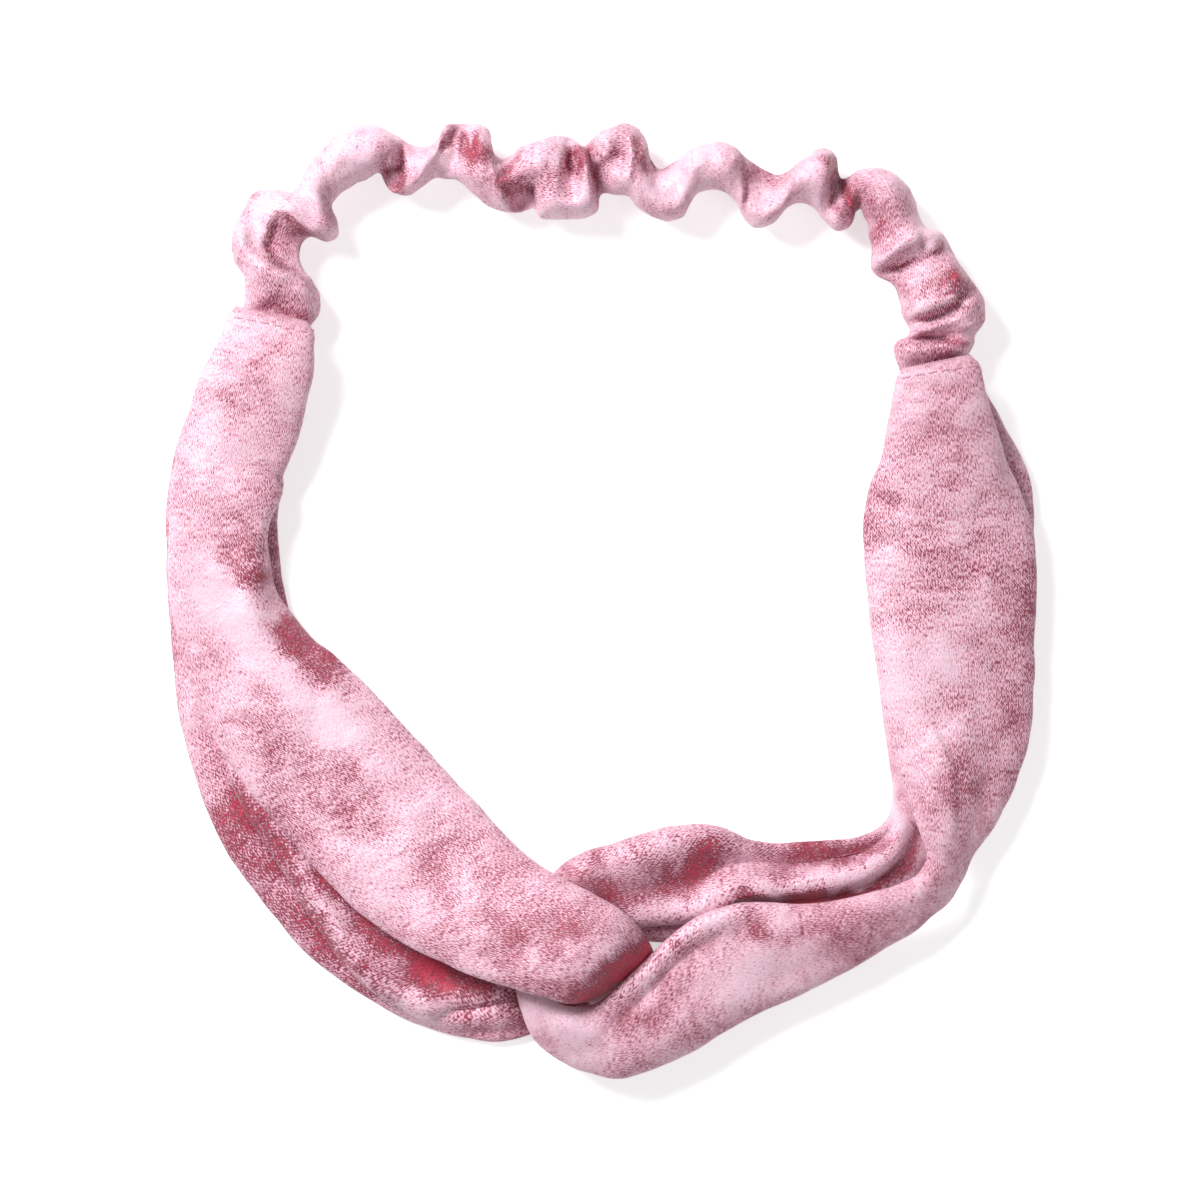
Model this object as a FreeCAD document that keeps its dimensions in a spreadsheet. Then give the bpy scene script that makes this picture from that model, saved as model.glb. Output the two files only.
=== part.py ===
import FreeCAD, Part
import math
import os
import Sketcher
from FreeCAD import Matrix, Placement, Vector

# A knotted satin headband lying relaxed on a table.  Two strips, each a flattened tube of
# satin folded in half, are hooked through each other at the front.  The ends of each strip
# are sewn over one end of a gathered satin casing, which hides a flat elastic band.
# X runs left to right, Y from the knot to the back of the ring, Z up from the table.

SIZES = [
    # name, millimetres
    ("ring_width", 141.0),          # between the outermost centrelines of the two strips
    ("ring_depth", 166.5),          # from the knot's lowest centreline to the casing's highest
    ("strip_width", 32.0),          # widest flat face of a strip
    ("strip_thickness", 4.4),       # a relaxed strip, its two plies and the air between them
    ("knot_width", 13.0),           # a strip bunched where the two hook together
    ("knot_thickness", 6.0),
    ("knot_gap", 0.8),              # free height between the strips that cross at the knot
    ("join_width", 16.5),           # a strip end where it is sewn over the casing
    ("join_thickness", 3.2),        # one pressed strip end
    ("tuck_thickness", 4.4),        # the flattened casing end between the two strip ends
    ("tuck_length", 9.0),           # how far the casing end reaches into the join
    ("tuck_clearance", 2.0),        # flat strip past the casing's inner end
    ("flare_length", 11.0),         # over which the pressed casing opens into a full tube
    ("seam_inset", 2.6),            # from the strip's folded end to the row of stitches
    ("casing_mean", 12.4),          # across the gathered tube, midway between fold and neck
    ("casing_ruffle", 2.4),         # how far a fold stands out, and a neck draws in
    ("ruffle_pitch", 14.0),         # from one fold of the casing to the next
    ("elastic_width", 6.5),
    ("elastic_thickness", 1.2),
    ("elastic_room_side", 0.8),     # casing's free space past each edge of the elastic
    ("elastic_room_face", 0.8),     # and above each face of it, where the casing is pressed flat
    ("side_length", 30.0),          # casing that goes with the stretching side
    ("end_length", 14.0),           # casing outside the join that goes with the strip
    ("soft_gap", 0.45),             # between soft pieces that lie on each other
    ("stretch_gap", 0.4),           # between two lengths of casing or elastic
    ("thread_diameter", 0.4),
    ("stitch_length", 1.8),
    ("stitch_pitch", 2.5),
    ("thread_gap", 0.2),            # thread above the cloth that it lies on
]

# The ring that the plan points below are drawn for.
DRAWN_WIDTH = 141.0
DRAWN_DEPTH = 166.5

# The folded end of each strip: plan x, plan y, and the direction of the stitched row in
# degrees from +X, for the upper end and for the lower end, which the strip reaches turned over.
LEFT_JOIN = (-61.6, 55.0, -13.5, -13.5)
RIGHT_JOIN = (64.0, 46.0, 13.0, -167.0)

# Stations along a strip between its joins, from the upper leg round the knot to the lower leg:
# plan x, plan y, what it rests on, size of its width, share of that size, size of its
# thickness, and the direction of its width in degrees from +X.
LEFT_STRIP = [
    (-66.9, 34.5, "strip", "strip_width", 0.62, "strip_thickness", -15.0),
    (-70.3, 25.0, "strip", "strip_width", 0.66, "strip_thickness", -14.0),
    (-73.0, 9.0, "strip", "strip_width", 0.62, "strip_thickness", -2.0),
    (-68.5, -7.0, "strip", "strip_width", 0.80, "strip_thickness", 22.0),
    (-61.0, -18.0, "strip", "strip_width", 0.92, "strip_thickness", 36.0),
    (-52.0, -29.0, "strip", "strip_width", 0.97, "strip_thickness", 40.0),
    (-42.5, -40.5, "strip", "strip_width", 0.97, "strip_thickness", 41.0),
    (-33.0, -51.0, "climb", "strip_width", 0.84, "strip_thickness", 47.0),
    (-23.0, -58.0, "over", "strip_width", 0.66, "strip_thickness", 58.0),
    (-13.5, -62.3, "over", "knot_width", 1.30, "knot_thickness", 66.0),
    (-5.5, -64.9, "over", "knot_width", 0.95, "knot_thickness", 74.0),
    (0.0, -66.1, "over", "knot_width", 0.72, "knot_thickness", 78.0),
    (4.8, -66.8, "turn_upper", "knot_width", 0.64, "knot_thickness", 80.0),
    (6.8, -67.0, "cross", "knot_width", 0.62, "knot_thickness", 82.0),
    (4.8, -67.2, "turn_lower", "knot_width", 0.64, "knot_thickness", 86.0),
    (0.0, -68.0, "table", "knot_width", 0.74, "knot_thickness", 93.0),
    (-6.5, -69.8, "table", "knot_width", 1.0, "knot_thickness", 99.0),
    (-15.0, -72.2, "table", "strip_width", 0.56, "strip_thickness", 94.0),
    (-25.0, -71.2, "table", "strip_width", 0.74, "strip_thickness", 73.0),
    (-37.0, -65.0, "table", "strip_width", 0.84, "strip_thickness", 56.0),
    (-49.0, -53.5, "table", "strip_width", 0.86, "strip_thickness", 42.0),
    (-59.0, -39.0, "table", "strip_width", 0.86, "strip_thickness", 30.0),
    (-66.0, -22.5, "table", "strip_width", 0.86, "strip_thickness", 18.0),
    (-69.5, -5.0, "table", "strip_width", 0.84, "strip_thickness", 6.0),
    (-70.2, 13.0, "table", "strip_width", 0.80, "strip_thickness", -4.0),
    (-67.6, 31.0, "table", "strip_width", 0.66, "strip_thickness", -12.0),
]
RIGHT_STRIP = [
    (67.2, 24.5, "strip", "strip_width", 0.88, "strip_thickness", 3.0),
    (66.9, 9.0, "strip", "strip_width", 1.03, "strip_thickness", 0.0),
    (67.3, -8.5, "strip", "strip_width", 1.0, "strip_thickness", -1.0),
    (67.2, -23.5, "strip", "strip_width", 0.88, "strip_thickness", -8.0),
    (64.5, -38.0, "strip", "strip_width", 0.68, "strip_thickness", -22.0),
    (59.0, -50.5, "strip", "strip_width", 0.52, "strip_thickness", -38.0),
    (49.5, -60.5, "strip", "strip_width", 0.46, "strip_thickness", -57.0),
    (37.5, -66.6, "rise", "strip_width", 0.50, "strip_thickness", -68.0),
    (25.5, -72.4, "cross", "strip_width", 0.48, "strip_thickness", -66.0),
    (14.5, -78.6, "cross", "knot_width", 1.0, "knot_thickness", -64.0),
    (3.5, -82.8, "cross", "knot_width", 0.95, "knot_thickness", -77.0),
    (-6.5, -82.0, "cross", "knot_width", 0.92, "knot_thickness", -112.0),
    (-13.0, -75.0, "cross", "knot_width", 0.90, "knot_thickness", -152.0),
    (-13.5, -65.5, "cross", "knot_width", 0.90, "knot_thickness", -193.0),
    (-8.0, -57.8, "cross", "knot_width", 0.90, "knot_thickness", -224.0),
    (1.0, -53.2, "cross", "knot_width", 0.90, "knot_thickness", -250.0),
    (12.0, -51.0, "cross", "knot_width", 1.0, "knot_thickness", -266.0),
    (23.0, -50.6, "fall", "strip_width", 0.50, "strip_thickness", -268.0),
    (34.5, -50.4, "table", "strip_width", 0.46, "strip_thickness", -266.0),
    (46.0, -47.8, "table", "strip_width", 0.46, "strip_thickness", -248.0),
    (55.5, -40.5, "table", "strip_width", 0.58, "strip_thickness", -222.0),
    (62.0, -29.0, "table", "strip_width", 0.76, "strip_thickness", -200.0),
    (66.0, -15.0, "table", "strip_width", 0.90, "strip_thickness", -187.0),
    (68.0, 0.0, "table", "strip_width", 0.94, "strip_thickness", -180.0),
    (68.5, 14.5, "table", "strip_width", 0.90, "strip_thickness", -177.0),
    (68.3, 24.0, "table", "strip_width", 0.76, "strip_thickness", -173.0),
]

# The centreline of the casing in plan, from the left join to the right join.
CASING_PATH = [
    (-62.4, 62.5), (-62.8, 70.5), (-58.0, 79.0), (-48.5, 83.6), (-35.5, 84.0),
    (-21.5, 82.2), (-7.5, 80.6), (6.5, 81.6), (20.5, 81.0), (34.0, 79.6),
    (45.5, 76.8), (54.5, 71.0), (60.8, 63.0), (64.0, 54.5),
]
# Spacing of a strip's sections, the most steps in one run of sections, the furthest that a
# run turns, in degrees, and how far to either side of a section its direction is measured.
SECTION_SPACING = 4.0
LONGEST_RUN = 5
RUN_TURN = 55.0
TANGENT_REACH = 0.5
# The vertical line about which the two hooked strips swing open.
SWING_AXIS = (6.8, -67.0)


def fill_sheet(document):
    """The spreadsheet that holds the driving dimensions, one aliased cell for each."""
    sheet = document.addObject("Spreadsheet::Sheet", "Sizes")
    for row, (alias, millimetres) in enumerate(SIZES, start=1):
        sheet.set(f"A{row}", alias)
        sheet.set(f"B{row}", str(millimetres))
        sheet.setAlias(f"B{row}", alias)
    document.recompute()
    return sheet


def plan_point(x, y):
    """A point drawn on the nominal ring, moved to where the ring's own size puts it."""
    return x * size.ring_width / DRAWN_WIDTH, y * size.ring_depth / DRAWN_DEPTH


def casing_height():
    """Height of the casing's axis: its folds rest on the table, or the join does."""
    on_folds = (size.casing_mean + size.casing_ruffle) / 2
    join_stack = size.join_thickness + size.soft_gap + size.tuck_thickness / 2
    thread_below = size.thread_diameter + 2 * size.thread_gap
    return max(on_folds, join_stack + thread_below)


def resting_heights():
    """Height of a strip's underside at each kind of station."""
    on_strip = size.strip_thickness + size.soft_gap
    step = size.knot_thickness + size.knot_gap
    axis = casing_height()
    half_tuck = size.tuck_thickness / 2 + size.soft_gap
    return {
        "table": 0.0,
        "strip": on_strip,
        "cross": step,
        "over": 2 * step,
        "climb": (on_strip + 2 * step) / 2,
        "rise": (on_strip + step) / 2,
        "fall": step / 2,
        "turn_upper": (1 + math.sin(math.radians(45))) * step,
        "turn_lower": (1 - math.sin(math.radians(45))) * step,
        "join": axis + half_tuck,
        "lift": axis - half_tuck - size.join_thickness,
    }


def section_placement(centre, across, along):
    """Frame of a cross-section: its X runs across the piece, its Z along it."""
    forward = Vector(along).normalize()
    sideways = Vector(across - forward * across.dot(forward)).normalize()
    up = forward.cross(sideways)
    return Placement(Matrix(
        sideways.x, up.x, forward.x, centre.x,
        sideways.y, up.y, forward.y, centre.y,
        sideways.z, up.z, forward.z, centre.z,
        0, 0, 0, 1))


def new_body(name):
    body = doc.addObject("PartDesign::Body", name)
    body.Label = name
    return body


def section_sketch(body, name, placement):
    """An empty sketch on the body's own XY plane, moved to the cross-section's frame."""
    plane = [feature for feature in body.Origin.OriginFeatures if feature.Role == "XY_Plane"][0]
    sketch = body.newObject("Sketcher::SketchObject", name)
    sketch.AttachmentSupport = [(plane, "")]
    sketch.MapMode = "FlatFace"
    sketch.AttachmentOffset = placement
    return sketch


def add_ellipse(sketch, label, wide, high):
    """A flattened round outline; wide and high are expressions of the sheet."""
    outline = sketch.addGeometry(Part.Ellipse(Vector(10, 0, 0), Vector(0, 2, 0), Vector(0, 0, 0)), False)
    sketch.exposeInternalGeometry(outline)
    sketch.addConstraint(Sketcher.Constraint("Coincident", outline, 3, -1, 1))
    sketch.addConstraint(Sketcher.Constraint("Horizontal", outline + 1))
    width = sketch.addConstraint(Sketcher.Constraint("Distance", outline + 1, 20))
    height = sketch.addConstraint(Sketcher.Constraint("Distance", outline + 2, 4))
    sketch.renameConstraint(width, f"{label}_wide")
    sketch.renameConstraint(height, f"{label}_high")
    sketch.setExpression(f"Constraints.{label}_wide", wide)
    sketch.setExpression(f"Constraints.{label}_high", high)


def add_circle(sketch, label, across):
    outline = sketch.addGeometry(Part.Circle(Vector(0, 0, 0), Vector(0, 0, 1), 5), False)
    sketch.addConstraint(Sketcher.Constraint("Coincident", outline, 3, -1, 1))
    diameter = sketch.addConstraint(Sketcher.Constraint("Diameter", outline, 10))
    sketch.renameConstraint(diameter, f"{label}_across")
    sketch.setExpression(f"Constraints.{label}_across", across)


def add_outline(sketch, label, wide, high):
    """Round where the outline is as high as it is wide, otherwise flattened."""
    if wide == high:
        add_circle(sketch, label, wide)
    else:
        add_ellipse(sketch, label, wide, high)


def band_section(body, name, placement, wide, high):
    """A rectangular section about the sketch's origin."""
    sketch = section_sketch(body, name, placement)
    corners = [Vector(-4, -1, 0), Vector(4, -1, 0), Vector(4, 1, 0), Vector(-4, 1, 0)]
    for index in range(4):
        sketch.addGeometry(Part.LineSegment(corners[index], corners[(index + 1) % 4]), False)
    for index in range(4):
        sketch.addConstraint(Sketcher.Constraint("Coincident", index, 2, (index + 1) % 4, 1))
    for index in (0, 2):
        sketch.addConstraint(Sketcher.Constraint("Horizontal", index))
        sketch.addConstraint(Sketcher.Constraint("Vertical", index + 1))
    sketch.addConstraint(Sketcher.Constraint("Symmetric", 0, 1, 1, 2, -1, 1))
    width = sketch.addConstraint(Sketcher.Constraint("Distance", 0, 8))
    height = sketch.addConstraint(Sketcher.Constraint("Distance", 1, 2))
    sketch.renameConstraint(width, "wide")
    sketch.renameConstraint(height, "high")
    sketch.setExpression("Constraints.wide", wide)
    sketch.setExpression("Constraints.high", high)
    return sketch


def loft(body, name, sections):
    """Joins the sections in runs that share their end sections, so that no run turns far."""
    normals = [sketch.AttachmentOffset.Rotation.multVec(Vector(0, 0, 1)) for sketch in sections]
    first = 0
    while first < len(sections) - 1:
        last = first + 1
        while (last + 1 < len(sections) and last - first < LONGEST_RUN
               and normals[first].getAngle(normals[last + 1]) < math.radians(RUN_TURN)):
            last += 1
        feature = body.newObject("PartDesign::AdditiveLoft", f"{name}_from_{first}")
        feature.Profile = sections[first]
        feature.Sections = sections[first + 1:last + 1]
        first = last


def smooth_curve(points):
    curve = Part.BSplineCurve()
    curve.interpolate(points)
    return curve


def join_inward(join):
    """The plan direction from a strip's folded end into the strip."""
    turn = math.radians(join[2])
    return Vector(math.sin(turn), -math.cos(turn), 0)


def join_stations(join, rests_on, direction):
    """A strip end: its folded edge, its stitched row, and where the casing inside it stops."""
    edge = Vector(*plan_point(join[0], join[1]), 0)
    stations = []
    middle = (size.seam_inset + size.tuck_length) / 2
    flat_end = size.tuck_length + size.tuck_clearance
    for inset in (0, size.seam_inset, middle, size.tuck_length, flat_end):
        place = edge + join_inward(join) * inset
        stations.append((place.x, place.y, rests_on, "join_width", 1.0, "join_thickness", direction))
    return stations


def whole_strip(join, free_stations):
    """All stations of a strip, with their plan places in millimetres."""
    placed = [(*plan_point(station[0], station[1]), *station[2:]) for station in free_stations]
    upper = join_stations(join, "join", join[2])
    lower = join_stations(join, "lift", join[3])
    return upper + placed + lower[::-1]


def level_slopes(places, levels):
    """Slopes for a curve through the levels that never passes above or below them."""
    steps = [(places[i + 1] - places[i], levels[i + 1] - levels[i]) for i in range(len(places) - 1)]
    grades = [rise / run for run, rise in steps]
    slopes = [0.0]
    for one, other in zip(grades, grades[1:]):
        slopes.append(2 * one * other / (one + other) if one * other > 0 else 0.0)
    return slopes + [0.0]


class StripRoute:
    """A strip's centreline through its stations, and its section anywhere along it."""

    def __init__(self, stations):
        heights = resting_heights()
        centres = []
        for x, y, rests_on, _, _, thickness, _ in stations:
            lift = heights[rests_on] + getattr(size, thickness) / 2
            centres.append(Vector(x, y, lift))
        self.stations = stations
        self.curve = smooth_curve(centres)
        parameters = [self.curve.parameter(centre) for centre in centres]
        self.start = parameters[0]
        self.places = [0.0]
        for one, other in zip(parameters, parameters[1:]):
            self.places.append(self.places[-1] + self.curve.length(one, other))
        self.length = self.places[-1]
        self.levels = [centre.z for centre in centres]
        self.slopes = level_slopes(self.places, self.levels)

    def index_before(self, place):
        index = 0
        while index < len(self.places) - 2 and self.places[index + 1] < place:
            index += 1
        return index

    def centre(self, place):
        """Plan from the smooth curve, height from the levels, so that flat stretches stay flat."""
        place = min(max(place, 0.0), self.length)
        parameter = self.curve.parameterAtDistance(place, self.start) if place > 0 else self.start
        plan = self.curve.value(parameter)
        index = self.index_before(place)
        run = self.places[index + 1] - self.places[index]
        t = (place - self.places[index]) / run
        one, other = self.levels[index], self.levels[index + 1]
        bend = run * (self.slopes[index] * t * (1 - t) ** 2 - self.slopes[index + 1] * t * t * (1 - t))
        return Vector(plan.x, plan.y, one + (other - one) * t * t * (3 - 2 * t) + bend)

    def between(self, place):
        """The stations before and after a place, and how far it is towards the second."""
        index = self.index_before(place)
        share = (place - self.places[index]) / (self.places[index + 1] - self.places[index])
        return self.stations[index], self.stations[index + 1], round(share, 4)

    def frame(self, place):
        before, after, share = self.between(place)
        turn = math.radians(before[6] * (1 - share) + after[6] * share)
        across = Vector(math.cos(turn), math.sin(turn), 0)
        along = self.centre(place + TANGENT_REACH) - self.centre(place - TANGENT_REACH)
        return section_placement(self.centre(place), across, along)

    def expressions(self, place):
        """The section's width and thickness there, as expressions of the sheet."""
        before, after, share = self.between(place)
        rest = round(1 - share, 4)
        wide = f"Sizes.{before[3]} * {before[4] * rest:.4f} + Sizes.{after[3]} * {after[4] * share:.4f}"
        high = f"Sizes.{before[5]} * {rest} + Sizes.{after[5]} * {share}"
        return wide, high


def build_strip(name, route):
    """A folded strip: evenly spaced sections from its upper end, round the knot, to its lower."""
    body = new_body(name)
    count = round(route.length / SECTION_SPACING)
    sections = []
    for index in range(count + 1):
        place = route.length * index / count
        wide, high = route.expressions(place)
        section = section_sketch(body, f"{name}_section_{index}", route.frame(place))
        add_ellipse(section, "outer", wide, high)
        sections.append(section)
    loft(body, f"{name}_loft", sections)
    return body


def casing_curve():
    """The casing's centreline, with a straight tuck into each strip."""
    axis = casing_height()
    tucks = []
    for join in (LEFT_JOIN, RIGHT_JOIN):
        end = Vector(*plan_point(join[0], join[1]), axis)
        tucks.append((end + join_inward(join) * size.tuck_length, end))
    middle = [Vector(*plan_point(x, y), axis) for x, y in CASING_PATH]
    (left_tip, left_end), (right_tip, right_end) = tucks
    points = [left_tip, left_end] + middle + [right_end, right_tip]
    return smooth_curve(points), left_end, right_end


class CasingRoute:
    """Measures along the casing from the left join line to the right one."""

    def __init__(self):
        self.curve, left_end, right_end = casing_curve()
        self.start = self.curve.parameter(left_end)
        self.length = self.curve.length(self.start, self.curve.parameter(right_end))

    def frame(self, distance, roll):
        """A section's frame; roll turns its width up from lying flat, in degrees."""
        parameter = self.curve.parameterAtDistance(distance, self.start)
        centre = self.curve.value(parameter)
        along = self.curve.tangent(parameter)[0]
        level = along.cross(Vector(0, 0, 1)).normalize()
        turn = math.radians(roll)
        across = level * math.cos(turn) + Vector(0, 0, 1) * math.sin(turn)
        return section_placement(centre, across, along)

    def from_join(self, distance):
        """How far a place is from the nearer join line, negative inside the strip."""
        return min(distance, self.length - distance)

    def roll(self, distance):
        """The elastic lies flat in the joins and stands on edge along the back."""
        share = (self.from_join(distance) - size.end_length / 2) / size.side_length
        share = min(1.0, max(0.0, share))
        return 90.0 * share * share * (3 - 2 * share)

    def fold(self, distance):
        """1 on the crest of a fold, -1 in a neck, and even from join to join."""
        folds = round(self.length / size.ruffle_pitch)
        return -math.cos(2 * math.pi * folds * distance / self.length)

    def tuck_share(self, distance):
        """1 where the casing is pressed flat for the join, 0 where it is a full tube."""
        share = self.from_join(distance) / size.flare_length
        share = min(1.0, max(0.0, share))
        return 1 - share * share * (3 - 2 * share)

    def stations(self, first, last):
        """Places of the sections of one length: its ends, and each crest and neck between."""
        folds = round(self.length / size.ruffle_pitch)
        step = self.length / folds / 4
        tuck_steps = int(size.tuck_length / step)
        places = [index * step for index in range(-tuck_steps, round(self.length / step) + tuck_steps + 1)]
        inside = [place for place in places if first + step / 2 < place < last - step / 2]
        return [first] + inside + [last]


def casing_sizes(route, distance):
    """Expressions for the casing's outer width and height at a place along it."""
    pressed = round(route.tuck_share(distance), 4)
    open_share = round(1 - pressed, 4)
    fold = round(route.fold(distance) * open_share, 4)
    tube = f"(Sizes.casing_mean + {fold} * Sizes.casing_ruffle) * {open_share}"
    if pressed == 0:
        return tube, tube
    flat_width = f"(Sizes.join_width - 4 * Sizes.soft_gap) * {pressed}"
    flat_height = f"Sizes.tuck_thickness * {pressed}"
    return f"{tube} + {flat_width}", f"{tube} + {flat_height}"


def room_sizes(route, distance):
    """The elastic's room: round in the tube, pressed flat in the join."""
    pressed = round(route.tuck_share(distance), 4)
    wide = "Sizes.elastic_width + 2 * Sizes.elastic_room_side"
    if pressed == 0:
        return wide, wide
    flat_height = "Sizes.elastic_thickness + 2 * Sizes.elastic_room_face"
    return wide, f"({wide}) * {round(1 - pressed, 4)} + ({flat_height}) * {pressed}"


def build_casing(name, route, first, last):
    """One length of the gathered tube, with the elastic's room through it."""
    body = new_body(name)
    sections = []
    for index, place in enumerate(route.stations(first, last)):
        section = section_sketch(body, f"{name}_section_{index}", route.frame(place, 0))
        add_outline(section, "outer", *casing_sizes(route, place))
        add_outline(section, "room", *room_sizes(route, place))
        sections.append(section)
    loft(body, f"{name}_loft", sections)
    return body


def build_elastic(name, route, first, last):
    """One length of the elastic band inside the casing."""
    body = new_body(name)
    sections = []
    for index, place in enumerate(route.stations(first, last)):
        frame = route.frame(place, route.roll(place))
        section = band_section(body, f"{name}_section_{index}", frame,
                               "Sizes.elastic_width", "Sizes.elastic_thickness")
        sections.append(section)
    loft(body, f"{name}_loft", sections)
    return body


def stitch(centre, direction):
    half = direction * (size.stitch_length / 2)
    return Part.makeCylinder(size.thread_diameter / 2, size.stitch_length, centre - half, direction)


def stitches_on_section(frame, width, thickness, side):
    """Stitches in a row across one face of a flattened section; side is 1 above, -1 below."""
    half_width = width / 2
    half_thickness = thickness / 2
    count = int((width - 2 * size.stitch_length) / size.stitch_pitch)
    clear = size.thread_diameter / 2 + size.thread_gap
    made = []
    for index in range(count + 1):
        offset = (index - count / 2) * size.stitch_pitch
        angle = math.acos(offset / half_width)
        surface = Vector(offset, side * half_thickness * math.sin(angle), 0)
        outward = Vector(offset / half_width ** 2, surface.y / half_thickness ** 2, 0).normalize()
        direction = Vector(-outward.y, outward.x, 0)
        centre = frame.multVec(surface + outward * clear)
        made.append(stitch(centre, frame.Rotation.multVec(direction)))
    return made


def build_join_stitching(name, route):
    """The thread that closes a join, above the upper strip end and under the lower one."""
    made = []
    for place in (size.seam_inset, route.length - size.seam_inset):
        frame = route.frame(place)
        section_up = frame.Rotation.multVec(Vector(0, 1, 0)).z
        outward = 1 if place < route.length / 2 else -1
        side = outward * math.copysign(1, section_up)
        made += stitches_on_section(frame, size.join_width, size.join_thickness, side)
    feature = doc.addObject("Part::Feature", name)
    feature.Label = name
    feature.Shape = Part.makeCompound(made)
    return feature


def build_elastic_tack(name, route, place):
    """Three short stitches along the end of the elastic, side by side inside the join."""
    frame = route.frame(place, route.roll(place))
    height = size.elastic_thickness / 2 + size.thread_gap + size.thread_diameter / 2
    made = []
    for index in (-1, 0, 1):
        centre = frame.multVec(Vector(index * size.stitch_pitch / 2, height, 0))
        made.append(stitch(centre, frame.Rotation.multVec(Vector(0, 0, 1))))
    feature = doc.addObject("Part::Feature", name)
    feature.Label = name
    feature.Shape = Part.makeCompound(made)
    return feature


def build_pieces():
    route = CasingRoute()
    half_gap = size.stretch_gap / 2
    left_cuts = (size.end_length, size.end_length + size.side_length)
    right_cuts = (route.length - left_cuts[1], route.length - left_cuts[0])
    cuts = [left_cuts[0], left_cuts[1], right_cuts[0], right_cuts[1]]
    lengths = [
        ("left_end", -size.tuck_length, cuts[0] - half_gap),
        ("left", cuts[0] + half_gap, cuts[1] - half_gap),
        ("crown", cuts[1] + half_gap, cuts[2] - half_gap),
        ("right", cuts[2] + half_gap, cuts[3] - half_gap),
        ("right_end", cuts[3] + half_gap, route.length + size.tuck_length),
    ]
    left_route = StripRoute(whole_strip(LEFT_JOIN, LEFT_STRIP))
    right_route = StripRoute(whole_strip(RIGHT_JOIN, RIGHT_STRIP))
    pieces = [build_strip("left_strip", left_route), build_strip("right_strip", right_route)]
    for name, first, last in lengths:
        pieces.append(build_casing(f"casing_{name}", route, first, last))
    elastic_inset = size.stitch_length
    for name, first, last in lengths:
        if name == "left_end":
            first = first + elastic_inset
        if name == "right_end":
            last = last - elastic_inset
        pieces.append(build_elastic(f"elastic_{name}", route, first, last))
    pieces.append(build_join_stitching("left_join_stitching", left_route))
    pieces.append(build_join_stitching("right_join_stitching", right_route))
    pieces.append(build_elastic_tack("left_elastic_tack", route, -size.seam_inset))
    pieces.append(build_elastic_tack("right_elastic_tack", route, route.length + size.seam_inset))
    print("casing length", round(route.length, 1))
    return pieces


def check_document():
    for item in doc.Objects:
        if "Invalid" in item.State or "Error" in item.State:
            raise RuntimeError(f"{item.Name} failed: {item.State}")


def stand_on_origin(pieces):
    """Moves every piece so that the whole stands on z = 0, centred on the origin."""
    box = FreeCAD.BoundBox()
    for piece in pieces:
        box.add(piece.Shape.optimalBoundingBox(False))
    shift = Vector(-box.Center.x, -box.Center.y, -box.ZMin)
    for piece in pieces:
        piece.Placement = Placement(shift, FreeCAD.Rotation()) * piece.Placement
    doc.recompute()
    swing_x, swing_y = plan_point(*SWING_AXIS)
    print("shift", [round(value, 3) for value in shift])
    print("size", round(box.XLength, 2), round(box.YLength, 2), round(box.ZLength, 2))
    print("swing axis at", round(swing_x + shift.x, 3), round(swing_y + shift.y, 3))


def export(pieces):
    os.makedirs("parts", exist_ok=True)
    for piece in pieces:
        if piece.Shape.isNull() or not piece.Shape.isValid():
            raise RuntimeError(f"{piece.Label} has no valid shape")
        print(piece.Label, len(piece.Shape.Solids), "solids", round(piece.Shape.Volume, 1), "mm3")
        piece.Shape.exportStep(f"parts/{piece.Label}.step")


doc = FreeCAD.newDocument("Headband")
size = fill_sheet(doc)
built = build_pieces()
doc.recompute()
check_document()
stand_on_origin(built)
check_document()
export(built)
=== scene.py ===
# %% [markdown]
# # A knotted satin headband
#
# The real thing is four pieces of cloth work: two flattened tubes of crinkled satin, each
# folded in half and hooked through the other at the front, and a gathered satin casing with a
# flat elastic inside, sewn between the ends of the two strips.  The lesson builds each one as
# a mesh laid over listed cross rows, because a row across a strip says directly where its
# edges lie, how high they are and how the cloth folds between them.

# %% Frame and libraries
import math

import bpy
import numpy as np
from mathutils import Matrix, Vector, noise


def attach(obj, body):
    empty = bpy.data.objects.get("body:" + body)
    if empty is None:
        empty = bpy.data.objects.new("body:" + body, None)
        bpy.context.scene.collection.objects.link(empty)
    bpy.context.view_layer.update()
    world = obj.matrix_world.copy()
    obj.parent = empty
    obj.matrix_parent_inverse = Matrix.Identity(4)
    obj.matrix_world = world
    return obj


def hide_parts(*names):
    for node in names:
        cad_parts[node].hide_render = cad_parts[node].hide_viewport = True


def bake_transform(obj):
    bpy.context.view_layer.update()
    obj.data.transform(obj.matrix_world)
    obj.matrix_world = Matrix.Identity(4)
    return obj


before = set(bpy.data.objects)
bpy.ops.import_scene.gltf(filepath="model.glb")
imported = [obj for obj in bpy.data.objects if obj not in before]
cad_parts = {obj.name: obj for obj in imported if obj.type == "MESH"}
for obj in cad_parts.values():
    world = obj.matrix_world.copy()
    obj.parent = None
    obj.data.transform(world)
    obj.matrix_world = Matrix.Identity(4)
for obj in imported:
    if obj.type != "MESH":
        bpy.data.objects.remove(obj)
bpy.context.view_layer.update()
MM = 0.001

# %% [markdown]
# ## The view
#
# The headband lies on a white table and is seen from straight above.  A long lens far away
# keeps the high knot and the low rear edges at one scale, which a short lens would not.

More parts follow.
